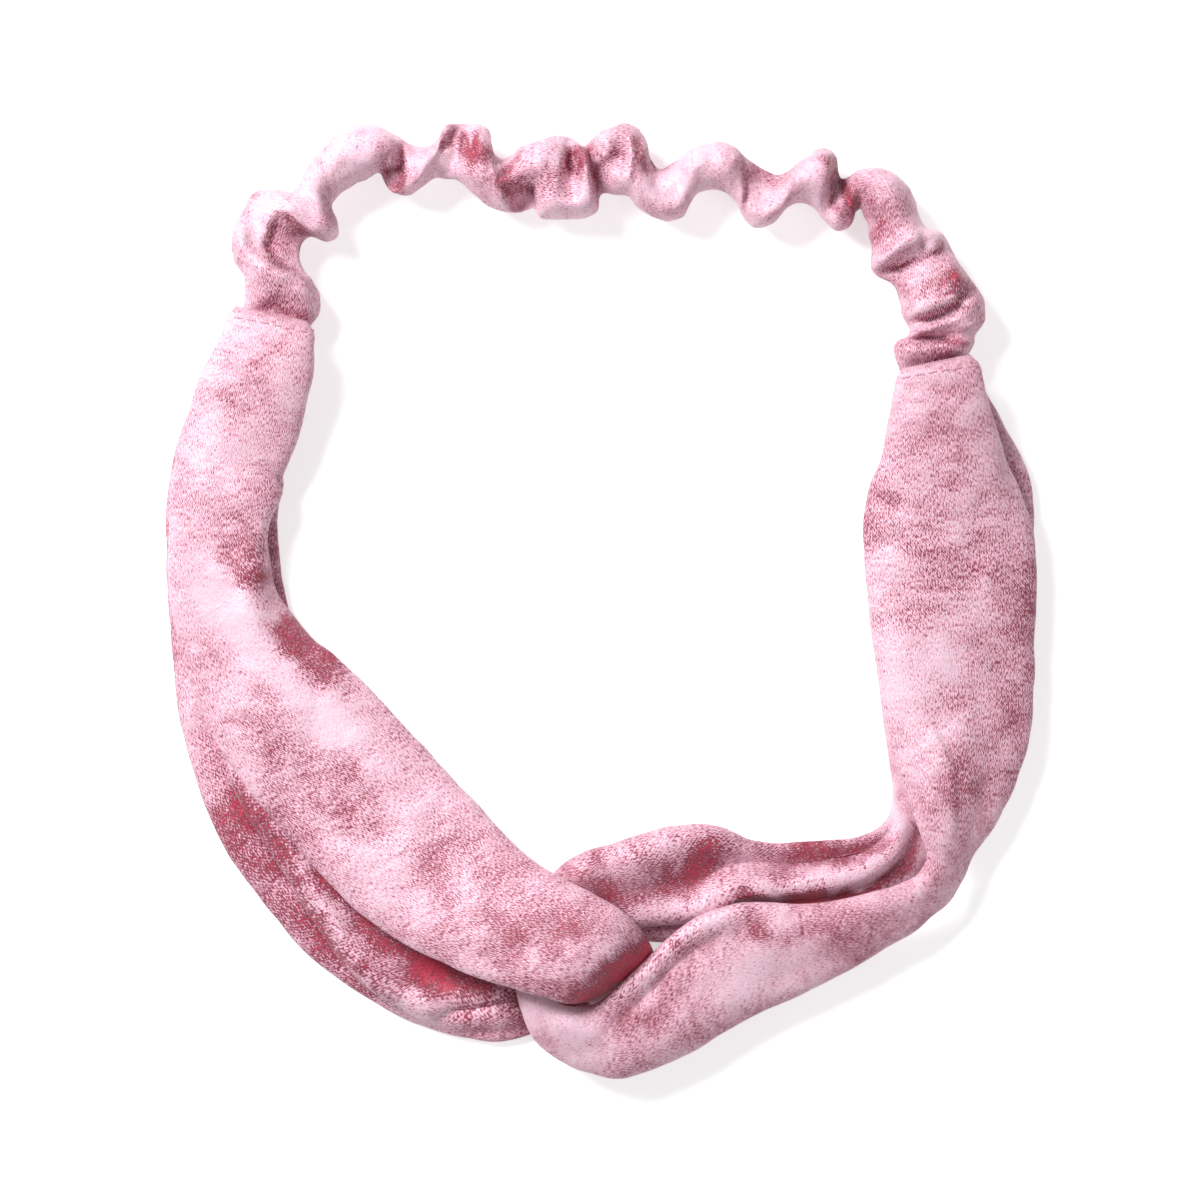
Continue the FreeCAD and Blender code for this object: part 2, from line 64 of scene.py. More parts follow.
# %% Camera
VIEW_WIDTH, VIEW_LEVEL, VIEW_CENTRE = 228 * MM, 9 * MM, -1.05 * MM
SENSOR, LENS = 36.0, 150.0
camera_data = bpy.data.cameras.new("overhead")
camera_data.lens = LENS
camera_data.sensor_width = SENSOR
camera = bpy.data.objects.new("overhead", camera_data)
camera_height = VIEW_WIDTH * LENS / SENSOR + VIEW_LEVEL
camera.location = (0, VIEW_CENTRE, camera_height)
bpy.context.scene.collection.objects.link(camera)
bpy.context.scene.camera = camera
print(f"camera {camera_height:.2f} m above the table")

# %% [markdown]
# ## Smooth curves through given rows
#
# Cloth has no corners, so the rows are joined by curves.  A Catmull-Rom curve passes through
# each point and only looks at its neighbours, so one fold can be moved without the far end
# of the strip stirring.

# %% Curve through points
def through(points, places, at):
    """The curve through points, which lie at the given places, sampled at other places."""
    points = np.asarray(points, float)
    places = np.asarray(places, float)
    steps = np.diff(places)
    shape = (-1,) + (1,) * (points.ndim - 1)
    secants = np.diff(points, axis=0) / steps.reshape(shape)
    slopes = np.empty_like(points)
    slopes[0], slopes[-1] = secants[0], secants[-1]
    before, after = steps[:-1].reshape(shape), steps[1:].reshape(shape)
    slopes[1:-1] = (secants[:-1] * after + secants[1:] * before) / (before + after)
    piece = np.clip(np.searchsorted(places, at, side="right") - 1, 0, len(steps) - 1)
    width = steps[piece]
    t = ((at - places[piece]) / width).reshape(shape)
    width = width.reshape(shape)
    return ((2 * t ** 3 - 3 * t ** 2 + 1) * points[piece]
            + (t ** 3 - 2 * t ** 2 + t) * width * slopes[piece]
            + (3 * t ** 2 - 2 * t ** 3) * points[piece + 1]
            + (t ** 3 - t ** 2) * width * slopes[piece + 1])


bump = through([[0.0], [1.0], [0.0]], [0, 1, 2], np.array([0.5, 1.0]))
print(f"a curve over one raised point: {bump[0, 0]:.2f} half way up, {bump[1, 0]:.2f} at the top")

# %% [markdown]
# ## Even rows
#
# Given rows stand close together where the cloth turns and far apart where it lies flat,
# but a skin needs rows at even distances.  So the curve is walked in fine steps and cut into
# equal lengths.

# %% Even rows
FINE_STEPS = 2000


def travelled(points):
    """Distance along a line of points."""
    return np.concatenate([[0], np.cumsum(np.linalg.norm(np.diff(points, axis=0), axis=1))])


def rows_along(rows, spacing):
    """Many evenly spaced rows through a few given ones, how far along each one is, and
    where the many and the few stand on one scale."""
    rows = np.asarray(rows, float)
    places = travelled(rows.mean(axis=1))
    fine_at = np.linspace(0, places[-1], FINE_STEPS)
    fine = travelled(through(rows.mean(axis=1), places, fine_at))
    count = int(round(fine[-1] / spacing))
    even = np.interp(np.linspace(0, fine[-1], count + 1), fine, fine_at)
    return through(rows, places, even), np.linspace(0, fine[-1], count + 1), even, places


level_rows = [[(0, 0, 0), (0, 1, 0)], [(1, 0, 0), (1, 1, 0)], [(6, 0, 0), (6, 1, 0)]]
_, even_distance, _, _ = rows_along(level_rows, 2.0)
print("uneven rows over 6 mm, made even:", even_distance.round(1))

# %% [markdown]
# ## A strip's cross rows
#
# Each row holds seven points from one edge of the strip to the other.  Between the edges the
# cloth can be crowned, pleated over itself, or turned under, and each of these is a small
# recipe for the five points in the middle.

# %% Row recipes
def crowned(rise=1.0, lean=0.0):
    """A relaxed strip: higher in the middle, or nearer one edge if it leans."""
    shares = np.array([0.1, 0.3, 0.5, 0.7, 0.9])
    lifts = rise * (1 - (2 * shares - 1) ** 2) + lean * np.sin(2 * math.pi * shares)
    return shares, lifts


def pleated(share, step, rise=0.6):
    """A roll leans over the cloth at the given share, and a valley follows behind it."""
    shares = np.array([share * 0.5, share + 0.02, share - 0.005,
                       share + 0.075, share + (1 - share) * 0.5])
    lifts = np.array([rise * 0.8, -0.6, step * 0.6, step, step * 0.15])
    return shares, lifts


def shaped(*pairs):
    """Any five (share, lift) pairs."""
    pairs = np.array(pairs)
    return pairs[:, 0], pairs[:, 1]


def row(edge_a, edge_b, thickness, middle):
    """One cross row, edge to edge, in millimetres."""
    a, b = np.array(edge_a, float), np.array(edge_b, float)
    shares, lifts = middle
    inner = a + (b - a) * shares[:, None]
    inner[:, 2] += lifts
    return np.vstack([a, inner, b]), thickness


sample, _ = row((0, 0, 0), (30, 0, 0), 3.6, crowned(2.0))
print("heights over a crowned row, mm:", sample[:, 2].round(1))

# %% [markdown]
# ## The outline of a pressed tube
#
# Across its width a strip is a tube pressed almost flat: two plies with rounded edges.  The
# outline is walked once in even steps, and then laid over each row.

# %% Outline of a pressed tube
AROUND = 104
OUTLINE_STEPS = 4001
OUTLINE_SQUARENESS = 5.0
NOMINAL_RATIO = 3.6 / 30


def pressed_outline():
    """Share of the width, side and share of the way round, for each point of the outline."""
    turn = np.linspace(0, 2 * math.pi, OUTLINE_STEPS)
    across = 0.5 - 0.5 * np.cos(turn)
    rounded = np.sqrt(np.clip(1 - np.abs(2 * across - 1) ** OUTLINE_SQUARENESS, 0, 1))
    side = np.sign(np.sin(turn)) * rounded
    walked = travelled(np.column_stack([across, side * NOMINAL_RATIO / 2]))
    even = np.linspace(0, walked[-1], AROUND + 1)[:-1]
    return np.interp(even, walked, across), np.interp(even, walked, side), even / walked[-1]


OUTLINE_ACROSS, OUTLINE_SIDE, OUTLINE_SHARE = pressed_outline()
ROW_PLACES = np.linspace(0, 1, 7)
print(f"{AROUND} points round a strip")

# %% [markdown]
# ## Fine crumples
#
# Crinkled satin is never smooth between its big folds.  Noise moves each point of the skin a
# little along its own normal.  Plain noise gives soft dents.  The size of the noise, without
# its sign, bends sharply wherever the noise passes zero.  The normals' side depends on the way
# the points run round: on the strips those bends come out as fine creases, and on the casing,
# whose points run the other way, as the fine crests of pushed-up cloth.

# %% Crumple
STRIP_DENTS = [(16.0, 0.45), (6.0, 0.16)]
STRIP_CREASES = [(9.0, 0.22)]
CASING_DENTS = [(4.5, 0.22), (2.0, 0.08)]
CASING_CREASES = [(4.6, 0.42), (2.4, 0.16)]
CREASE_RISE = 0.3


def crumple(points, seed, dents, creases, keep_ends=4):
    """Moves ring points along their normals by noise of (size, height) in millimetres."""
    normals = -np.cross(np.gradient(points, axis=0),
                        np.roll(points, -1, axis=1) - np.roll(points, 1, axis=1))
    normals /= np.maximum(np.linalg.norm(normals, axis=2, keepdims=True), 1e-9)
    count = len(points)
    moved = np.zeros(count * points.shape[1])
    flat = points.reshape(-1, 3)
    shift = Vector((seed, 2.0 * seed, 0))
    for size, height in dents:
        moved += [height * noise.noise(Vector(point) / size + shift) for point in flat]
    for size, height in creases:
        moved += [height * (CREASE_RISE - 2 * abs(noise.noise(Vector(point) / size - shift)))
                  for point in flat]
    ends = np.clip(np.minimum(np.arange(count), np.arange(count)[::-1]) / keep_ends, 0, 1)
    return points + normals * (moved.reshape(count, -1) * ends[:, None])[..., None]


print("dents and creases on a strip, mm:", [size for size, _ in STRIP_DENTS + STRIP_CREASES])
print("dents and creases on the casing, mm:", [size for size, _ in CASING_DENTS + CASING_CREASES])

# %% [markdown]
# ## Which side of a line
#
# Folds and bands of colour follow lines drawn in plan.  Both need to know how far a point lies
# from such a line and on which hand, and how near the line's ends, where a fold dies out.

# %% Distance from a line
LINE_FADE = 0.18


def line_offset(points, line):
    """How far each point lies from a line in plan, less than nothing on its right hand, and a
    fade from 1 in the line's middle to 0 at its ends."""
    line = np.asarray(line, float)
    best = np.full(len(points), np.inf)
    signed = np.zeros(len(points))
    inside = np.zeros(len(points))
    reached = travelled(line)
    for start, end, before in zip(line, line[1:], reached):
        step = end - start
        length = np.linalg.norm(step)
        share = np.clip((points[:, :2] - start) @ step / length ** 2, 0, 1)
        away = points[:, :2] - (start + share[:, None] * step)
        distance = np.linalg.norm(away, axis=1)
        nearer = distance < best
        best = np.where(nearer, distance, best)
        side = np.where(step[0] * away[:, 1] - step[1] * away[:, 0] < 0, -1, 1)
        signed = np.where(nearer, side * distance, signed)
        along = before + share * length
        inside = np.where(nearer, np.minimum(along, reached[-1] - along), inside)
    fade = np.clip(inside / (LINE_FADE * reached[-1]), 0, 1)
    return signed, fade


offset, middle_fade = line_offset(np.array([[0.0, 0.5, 0.0]]), [(-5, 0), (5, 0)])
print(f"half a millimetre left of a line: offset {offset[0]:.1f}, fade {middle_fade[0]:.1f}")

# %% [markdown]
# ## Folded lips
#
# Where cloth doubles over itself, one side of a line stands up as a lip and the other side dips
# under it.  A fold is written as its height, its reach and the line it follows in plan, walked
# so that the lip is on the left hand.

# %% Folded lips
LIP_STEP, DIP_SHARE = 0.45, 0.6
FLOOR_BLEND = 2.0


def eased(rings, times):
    """Takes the sharp tips off a grid of ring points by averaging each with its neighbours."""
    for _ in range(times):
        middle = (rings[:-2] + 2 * rings[1:-1] + rings[2:]) / 4
        rings = np.concatenate([rings[:1], middle, rings[-1:]])
        rings = (np.roll(rings, 1, axis=1) + 2 * rings + np.roll(rings, -1, axis=1)) / 4
    return rings


def folded(rings, folds, floor_level):
    """Raises a lip on the left of each fold and dips the right, on cloth above a level."""
    points = rings.reshape(-1, 3).copy()
    upper = np.clip((points[:, 2] - floor_level) / FLOOR_BLEND, 0, 1)
    for height, reach, line in folds:
        signed, fade = line_offset(points, line)
        lip = np.tanh(signed / LIP_STEP) * np.exp(-np.abs(signed) / reach)
        points[:, 2] += height * np.where(lip > 0, lip, DIP_SHARE * lip) * fade * upper
    return points.reshape(rings.shape)


flat_pair = np.array([[[0.0, 0.5, 10.0], [0.0, -0.5, 10.0]]])
lifted = folded(flat_pair, [(1.0, 2.0, [(-5, 0), (5, 0)])], 0.0) - flat_pair
print("a fold of 1 mm moves its left and right side by, mm:", lifted[0, :, 2].round(2))

# %% [markdown]
# ## From rows to a skin of cloth
#
# The rows become a grid of points, and the grid is pushed out to either side by half the
# strip's thickness, along the direction square to the cloth.  The ends are pressed shut.

# %% Skin over rows
STRIP_SPACING = 0.75
END_ROUNDING, SHUT_THICKNESS = 1.6, 0.12
FINE_ACROSS = 61


def grid_normals(grid):
    """The direction square to the cloth at each point of a grid."""
    along = np.gradient(grid, axis=0)
    across = np.gradient(grid, axis=1)
    normals = np.cross(along, across)
    return normals / np.maximum(np.linalg.norm(normals, axis=2, keepdims=True), 1e-9)


def strip_skin(rows):
    """Points of a closed strip, ring after ring, and how far along it each ring is."""
    middles = [points for points, _ in rows]
    thick = [thickness for _, thickness in rows]
    dense, distance, even, places = rows_along(middles, STRIP_SPACING)
    thick = through(np.array(thick), places, even)
    from_end = np.minimum(distance, distance[-1] - distance)
    closing = np.clip(from_end / END_ROUNDING, 0, 1)
    thick = thick * np.sqrt(1 - (1 - closing) ** 2) + SHUT_THICKNESS
    fine_share = np.linspace(0, 1, FINE_ACROSS)
    lateral = np.stack([through(line, ROW_PLACES, fine_share) for line in dense])
    normals = grid_normals(lateral)
    rings = []
    for line, square, height in zip(lateral, normals, thick):
        walked = travelled(line)
        at = OUTLINE_ACROSS * walked[-1]
        middle = np.column_stack([np.interp(at, walked, line[:, axis]) for axis in range(3)])
        out = np.column_stack([np.interp(at, walked, square[:, axis]) for axis in range(3)])
        out /= np.linalg.norm(out, axis=1, keepdims=True)
        rings.append(middle + out * (OUTLINE_SIDE * height / 2)[:, None])
    return np.array(rings), distance


print(f"a ring every {STRIP_SPACING} mm, {AROUND} points in each")

# %% [markdown]
# ## Faces between rings
#
# Two neighbouring rings are joined by a band of four-cornered faces.  A strip's end is pressed
# flat, so it is closed by joining its upper ply straight to its lower ply.

# %% Faces and caps
def ring_faces(rings, around):
    """Four-cornered faces between each ring and the next."""
    faces = []
    for ring in range(rings - 1):
        for step in range(around):
            after = (step + 1) % around
            faces.append((ring * around + step, ring * around + after,
                          (ring + 1) * around + after, (ring + 1) * around + step))
    return faces


def pressed_cap(ring, around, first):
    """Closes a pressed ring by joining its upper ply to its lower ply."""
    faces = []
    for step in range(around // 2):
        one, two = step, step + 1
        other_one, other_two = (around - step) % around, (around - step - 1) % around
        corners = list(dict.fromkeys([one, two, other_two, other_one]))
        if len(corners) < 3:
            continue
        if first:
            corners.reverse()
        faces.append(tuple(ring * around + corner for corner in corners))
    return faces


print(f"{len(ring_faces(2, AROUND))} faces in a band, {len(pressed_cap(0, AROUND, True))} in a cap")

# %% [markdown]
# ## Painted highlight and shade
#
# The satin carries painted highlight where it would catch the light and painted shade where it
# lies in a hollow or a tight turn.  Each point of a skin carries one number for that, made of
# soft spots and bands whose edges are pulled about by noise, because a soft round spot would look
# like a stain.  The noise that gives vectors takes its start from the clock unless it is given a
# seed, and then no two runs would end their spots in the same places.

# %% Painted highlight and shade of the cloth
RAGGED = [(7.0, 3.0), (2.6, 1.3)]
# painted shade along the folds: its depth per millimetre of fold, its reach, and the darkest the
# painted shade may get
CREASE_SHADE_DEPTH, CREASE_SHADE_REACH, DARKEST_PAINTED_SHADE = 1.4, 0.7, -1.5
TONE_SEED = 5
noise.seed_set(TONE_SEED)


def painted_light_and_shade(points, spots):
    """Painted highlight (above 0) or painted shade (below 0): spots of (x, y, reach, strength) in mm,
    and bands of (reach, strength, line).  Noise pulls their edges about, so they end ragged."""
    tone = np.zeros(len(points))
    if not spots:
        return tone
    pulled = points[:, :2].copy()
    for size, pull in RAGGED:
        pulled += [[pull * part for part in noise.noise_vector(Vector(point) / size)[:2]]
                   for point in points]
    for spot in spots:
        if len(spot) == 3:
            reach, strength, line = spot
            away = line_offset(pulled, line)[0] ** 2
        else:
            x, y, reach, strength = spot
            away = (pulled[:, 0] - x) ** 2 + (pulled[:, 1] - y) ** 2
        tone += strength * np.exp(-away / reach ** 2)
    return tone


def crease_painted_shade(points, folds, floor_level):
    """Painted shade along the low side of each fold, where little light gets in."""
    upper = np.clip((points[:, 2] - floor_level) / FLOOR_BLEND, 0, 1)
    tone = np.zeros(len(points))
    for height, _, line in folds:
        signed, fade = line_offset(points, line)
        near = np.exp(-((signed + CREASE_SHADE_REACH / 2) / CREASE_SHADE_REACH) ** 2)
        tone -= CREASE_SHADE_DEPTH * height * near * fade
    return tone * upper


print("tone in the middle of a spot of 1:", painted_light_and_shade(np.zeros((1, 3)), [(0, 0, 50, 1)]).round(1))

# %% [markdown]
# ## Faces that look outwards
#
# Whether a ring's faces look out or in depends on which way its points run round, and the
# casing's run the other way from the strips', the elastic's and the threads'.  The volume
# inside tells: it comes out below zero when the faces look inwards, and then they are all
# turned over.

# %% Outward faces
def face_outwards(mesh):
    """Turns every face of a closed mesh over if they look inwards."""
    mesh.calc_loop_triangles()
    corners = np.empty(3 * len(mesh.loop_triangles), int)
    mesh.loop_triangles.foreach_get("vertices", corners)
    spots = np.array([vertex.co for vertex in mesh.vertices])[corners.reshape(-1, 3)]
    if np.sum(spots[:, 0] * np.cross(spots[:, 1], spots[:, 2])) < 0:
        mesh.flip_normals()


wedge = bpy.data.meshes.new("wedge")
wedge.from_pydata([(0, 0, 0), (1, 0, 0), (0, 1, 0), (0, 0, 1)], [],
                  [(0, 1, 2), (0, 3, 1), (0, 2, 3), (1, 3, 2)])
was = wedge.polygons[0].normal.z
face_outwards(wedge)
print(f"the lowest face of a wedge looked to z {was:+.0f}, now to z {wedge.polygons[0].normal.z:+.0f}")
bpy.data.meshes.remove(wedge)

# %% [markdown]
# ## A mesh with its map
#
# The map runs along and round each tube in metres, so glints and twill rows keep one size on
# every piece, however the piece bends.

# %% Mesh with its map
MAP_NAME, PAINTED_LIGHT_NAME = "cloth", "tone"


def skin_object(name, points, faces, lengthwise, round_share, girth, tones):
    """A smooth mesh in metres, with a map that runs along and round the tube in metres."""
    mesh = bpy.data.meshes.new(name)
    mesh.from_pydata([tuple(point * MM) for point in points], [], faces)
    face_outwards(mesh)
    mesh.polygons.foreach_set("use_smooth", [True] * len(mesh.polygons))
    layer = mesh.uv_layers.new(name=MAP_NAME)
    loops = np.empty(len(mesh.loops), int)
    mesh.loops.foreach_get("vertex_index", loops)
    place = np.column_stack([lengthwise[loops], round_share[loops] * girth]) * MM
    layer.data.foreach_set("uv", place.astype(np.float32).ravel())
    # the painted highlight and shade of each point, read by the satin's colour
    tone = mesh.attributes.new(PAINTED_LIGHT_NAME, "FLOAT", "POINT")
    tone.data.foreach_set("value", np.asarray(tones, np.float32))
    mesh.update()
    made = bpy.data.objects.new(name, mesh)
    bpy.context.scene.collection.objects.link(made)
    return made


print(f"every skin has a map called {MAP_NAME}, and for each point a number called {PAINTED_LIGHT_NAME}")

# %% [markdown]
# ## A whole strip
#
# A strip lies over itself in plan, so a spot of painted highlight or shade meant for its upper
# leg must not mark the lower one.  Each leg therefore has its own spots, and the two sets change
# over at the turn.

# %% Whole strip
STRIP_GIRTH = 2 * 32.0
TURN_BLEND = 8.0
TABLE_TOUCH = 0.05


def strip_object(name, rows, turn, folds, upper_spots, under_spots):
    """A strip whose rows before the turn lie on top and whose rows after it lie beneath."""
    rings, distance = strip_skin(rows)
    for first, last, level, lines in folds:
        run = slice(round(first / STRIP_SPACING), round(last / STRIP_SPACING))
        rings[run] = folded(rings[run], lines, level)
    seed = len(name)  # the two names differ in length, so the two strips crumple differently
    rings = crumple(rings, seed, STRIP_DENTS, STRIP_CREASES)
    rings[..., 2] = np.maximum(rings[..., 2], TABLE_TOUCH)
    count = len(rings)
    faces = ring_faces(count, AROUND)
    faces += pressed_cap(0, AROUND, True) + pressed_cap(count - 1, AROUND, False)
    points = rings.reshape(-1, 3)
    row_distance = travelled(np.array([line.mean(axis=0) for line, _ in rows]))
    lengthwise = np.repeat(distance, AROUND)
    after = np.clip((lengthwise - row_distance[turn]) / TURN_BLEND + 0.5, 0, 1)
    # painted highlight and shade of each leg, changing over at the turn
    tones = painted_light_and_shade(points, upper_spots) * (1 - after) + painted_light_and_shade(points, under_spots) * after
    made = skin_object(name, points, faces, lengthwise, np.tile(OUTLINE_SHARE, count),
                       STRIP_GIRTH, tones)
    print(f"{name}: {count} rings, {distance[-1]:.0f} mm long")
    return made, rings


print(f"the map is {STRIP_GIRTH:.0f} mm round a strip, and spots change over in {TURN_BLEND:.0f} mm")

# %% [markdown]
# ## The left strip
#
# It leaves the left join, runs down the side folded narrow, opens into a broad face, climbs
# over the right strip, dives through that strip's loop, and comes back underneath it, pleated
# along its length, to the same join.

# %% Left strip rows
LEFT_ROWS = [
    row((-69.0, 54.7, 11.4), (-55.4, 51.8, 11.4), 2.4, crowned(0.1)),
    row((-70.4, 53.3, 11.4), (-54.2, 49.9, 11.4), 3.0, crowned(0.4)),
    row((-71.4, 50.4, 11.3), (-54.2, 47.0, 11.3), 3.3, crowned(0.6)),
    row((-73.2, 46.4, 10.8), (-54.4, 42.6, 10.6), 3.6, crowned(1.0)),
    row((-76.0, 40.4, 9.6), (-55.9, 36.4, 9.2), 4.0, crowned(1.6)),
    row((-78.5, 33.6, 8.4), (-57.2, 30.4, 8.0), 4.2, crowned(1.8)),
    row((-80.6, 27.0, 7.6), (-59.4, 24.8, 7.6), 4.2, crowned(1.8, 0.4)),
    row((-81.6, 19.8, 7.2), (-61.8, 19.4, 7.6), 4.2,
        shaped((.1, .6), (.35, 1.9), (.7, 2.0), (.93, 1.0), (1.0, -1.0))),
    row((-82.0, 12.3, 7.0), (-64.4, 12.6, 5.5), 4.2,
        shaped((.1, .8), (.35, 2.2), (.7, 3.2), (.96, 3.2), (1.0, 1.2))),
    row((-82.0, 4.7, 6.8), (-63.8, 5.4, 3.6), 4.0,
        shaped((.1, .9), (.35, 2.4), (.62, 4.2), (.85, 5.2), (.95, 2.8))),
    row((-81.6, -2.4, 6.6), (-61.9, 0.2, 3.6), 4.0,
        shaped((.1, .9), (.35, 2.2), (.58, 3.8), (.76, 5.0), (.88, 2.2))),
    row((-80.4, -9.0, 6.4), (-58.6, -4.4, 4.6), 4.0,
        shaped((.1, .7), (.3, 1.6), (.5, 2.9), (.68, 4.2), (.84, 1.9))),
    row((-79.0, -14.6, 6.2), (-55.0, -8.2, 5.4), 4.0,
        shaped((.1, .5), (.3, 1.4), (.5, 2.8), (.67, 3.6), (.84, 1.4))),
    row((-76.6, -21.2, 6.2), (-50.6, -11.4, 6.4), 4.0,
        shaped((.1, .5), (.3, 1.5), (.5, 2.8), (.68, 3.0), (.86, .8))),
    row((-73.4, -27.8, 6.4), (-45.4, -16.0, 7.0), 3.8,
        shaped((.1, .6), (.3, 1.7), (.5, 2.5), (.7, 2.3), (.88, .9))),
    row((-68.8, -34.8, 6.8), (-39.6, -22.3, 7.4), 3.6, crowned(2.0, -.3)),
    row((-63.4, -41.4, 7.2), (-33.4, -29.0, 8.0), 3.6, crowned(1.8, -.2)),
    row((-57.8, -48.2, 7.8), (-27.6, -35.4, 8.6), 3.6, crowned(1.7)),
    row((-51.8, -54.6, 8.4), (-22.0, -41.2, 9.6), 3.6, crowned(1.7)),
    row((-45.2, -60.8, 9.4), (-16.7, -46.6, 11.0), 3.6, crowned(1.8)),
    row((-38.0, -65.8, 10.8), (-11.6, -51.0, 12.8), 3.6, crowned(1.9)),
    row((-30.6, -69.2, 12.4), (-6.8, -53.6, 14.6), 3.6, crowned(1.9)),
    row((-23.4, -71.9, 14.2), (-1.6, -56.0, 15.8), 3.6, crowned(1.8)),
    row((-16.8, -74.0, 15.8), (2.8, -58.3, 16.6), 3.6, crowned(1.6)),
    row((-10.6, -75.9, 16.9), (4.6, -59.7, 16.8), 3.4, crowned(1.5)),
    row((-7.8, -76.6, 16.4), (6.4, -61.4, 16.2), 3.2, crowned(1.5)),
    row((-5.4, -76.9, 13.8), (8.4, -64.3, 13.4), 3.0, crowned(1.2)),
    row((-3.2, -76.7, 10.6), (9.7, -66.6, 10.4), 3.0, crowned(.8)),
    row((-2.0, -77.2, 7.4), (10.3, -68.4, 7.4), 3.0, crowned(.4)),
    row((-2.0, -79.0, 4.6), (10.2, -69.8, 4.6), 3.0, crowned(.2)),
    row((-4.2, -80.8, 2.6), (7.6, -71.0, 2.6), 3.0, crowned(.1)),
    row((-8.6, -82.4, 1.9), (1.0, -71.2, 1.9), 3.0, crowned(.1)),
    row((-14.0, -84.4, 1.8), (-7.0, -69.4, 1.9), 3.0,
        shaped((.15, .1), (.34, 1.0), (.44, .2), (.56, 1.4), (.78, .2))),
    row((-20.0, -85.3, 1.8), (-14.0, -67.6, 2.0), 3.0,
        shaped((.14, .2), (.32, 1.7), (.43, .2), (.56, 2.2), (.80, .3))),
    row((-28.5, -84.0, 1.8), (-21.0, -63.4, 2.2), 3.0,
        shaped((.07, .2), (.17, 1.7), (.25, .4), (.35, 2.5), (.58, .3))),
    row((-36.0, -81.8, 1.8), (-27.5, -58.0, 2.2), 3.0,
        shaped((.06, .2), (.12, 1.6), (.20, 2.9), (.30, 1.8), (.52, .3))),
    row((-43.0, -78.2, 1.8), (-33.5, -52.8, 2.2), 3.0, pleated(.12, 3.8, .4)),
    row((-49.8, -73.8, 1.8), (-38.4, -47.2, 2.2), 3.0, pleated(.17, 4.0, .4)),
    row((-56.2, -68.4, 1.8), (-43.6, -40.6, 2.2), 3.0, pleated(.24, 4.0, .4)),
    row((-62.2, -61.8, 1.8), (-47.6, -36.0, 2.2), 3.0, pleated(.29, 3.8, .4)),
    row((-68.0, -54.4, 1.8), (-50.6, -31.2, 2.2), 3.0, pleated(.32, 3.2, .4)),
    row((-72.8, -46.4, 1.8), (-53.4, -25.6, 2.2), 3.0, pleated(.31, 2.7, .4)),
    row((-76.4, -38.4, 1.8), (-55.8, -19.4, 2.2), 3.0, pleated(.30, 2.2, .3)),
    row((-79.0, -30.0, 1.8), (-57.6, -13.0, 2.2), 3.0, pleated(.30, 1.7, .3)),
    row((-80.8, -21.0, 1.9), (-59.0, -6.4, 2.2), 3.0, pleated(.27, 1.0, .3)),
    row((-82.2, -9.0, 2.0), (-60.4, 2.0, 2.2), 3.0, crowned(.4)),
    row((-83.0, 4.0, 2.0), (-61.4, 10.0, 2.2), 3.0, crowned(.4)),
    row((-83.0, 16.0, 2.0), (-61.4, 18.0, 2.2), 3.0, crowned(.4)),
    row((-81.8, 26.0, 2.2), (-60.4, 26.0, 2.4), 3.0, crowned(.4)),
    row((-79.0, 34.0, 2.4), (-58.6, 33.0, 2.6), 3.0, crowned(.3)),
    row((-75.4, 41.6, 2.9), (-57.0, 39.4, 2.9), 3.0, crowned(.2)),
    row((-71.8, 48.4, 3.5), (-55.6, 45.6, 3.5), 2.9, crowned(.1)),
    row((-69.6, 53.4, 3.8), (-54.6, 50.6, 3.8), 2.8, crowned(0)),
]
LEFT_TURN = 28
print(f"{len(LEFT_ROWS)} rows, the turn at row {LEFT_TURN}")

# %% [markdown]
# ## Painted light and folds of the left strip
#
# The broad face carries painted highlight along its crest and painted shade in the hollow beside
# it.  The leg beneath carries one long roll, with painted shade in the valley on its inner side.
# Folds are given with the stretch of the strip they work on, in millimetres along it, and the
# height above which they work.

# %% Left strip
# spots and bands of painted highlight (above 0) and painted shade (below 0) on the upper leg
LEFT_UPPER = [
    (-63, 46, 5, -.3), (-74, 34, 7, .5), (-61, 30, 5, -.4), (-65, 17, 6, -.5), (-67.5, 6, 5, -.6),
    (-66, 10, 3, -.4), (-76, 12, 9, .4), (-79, -4, 7, .3), (-70, -2, 4, .9), (-63, 3, 3, -1.2),
    (2.8, -2.5, [(-60.6, -6.4), (-56.2, -10.2), (-50.4, -14.6)]),
    (3.4, 1.8, [(-73.4, 3), (-66.6, -8.4), (-59.6, -16.6), (-52.4, -23.2)]),
    (-48, -25, 6, 1.3), (-40, -31, 4, .7), (-55, -30, 4, -.7), (-61, -27, 3, -.4), (-47, -34, 4, -.8),
    (-52, -41, 5, -.7), (-42, -44, 4, -.7), (-34, -38, 5, .3), (-42, -56, 7, .8), (-34, -62, 4, .7),
    (-28, -50, 5, -.5), (-20, -52, 6, -.7), (-12, -60, 6, -.7), (-18, -66, 5, -.6), (-27, -64, 4, -.4),
    (-6, -66, 6, -.6), (-4, -56, 3, .8), (-22, -43.5, 4, .5),
    (3.0, -3.6, [(10.6, -65), (4, -71), (-4, -77)]), (-66, -36, 4, .5), (-76, -22, 5, .2),
]
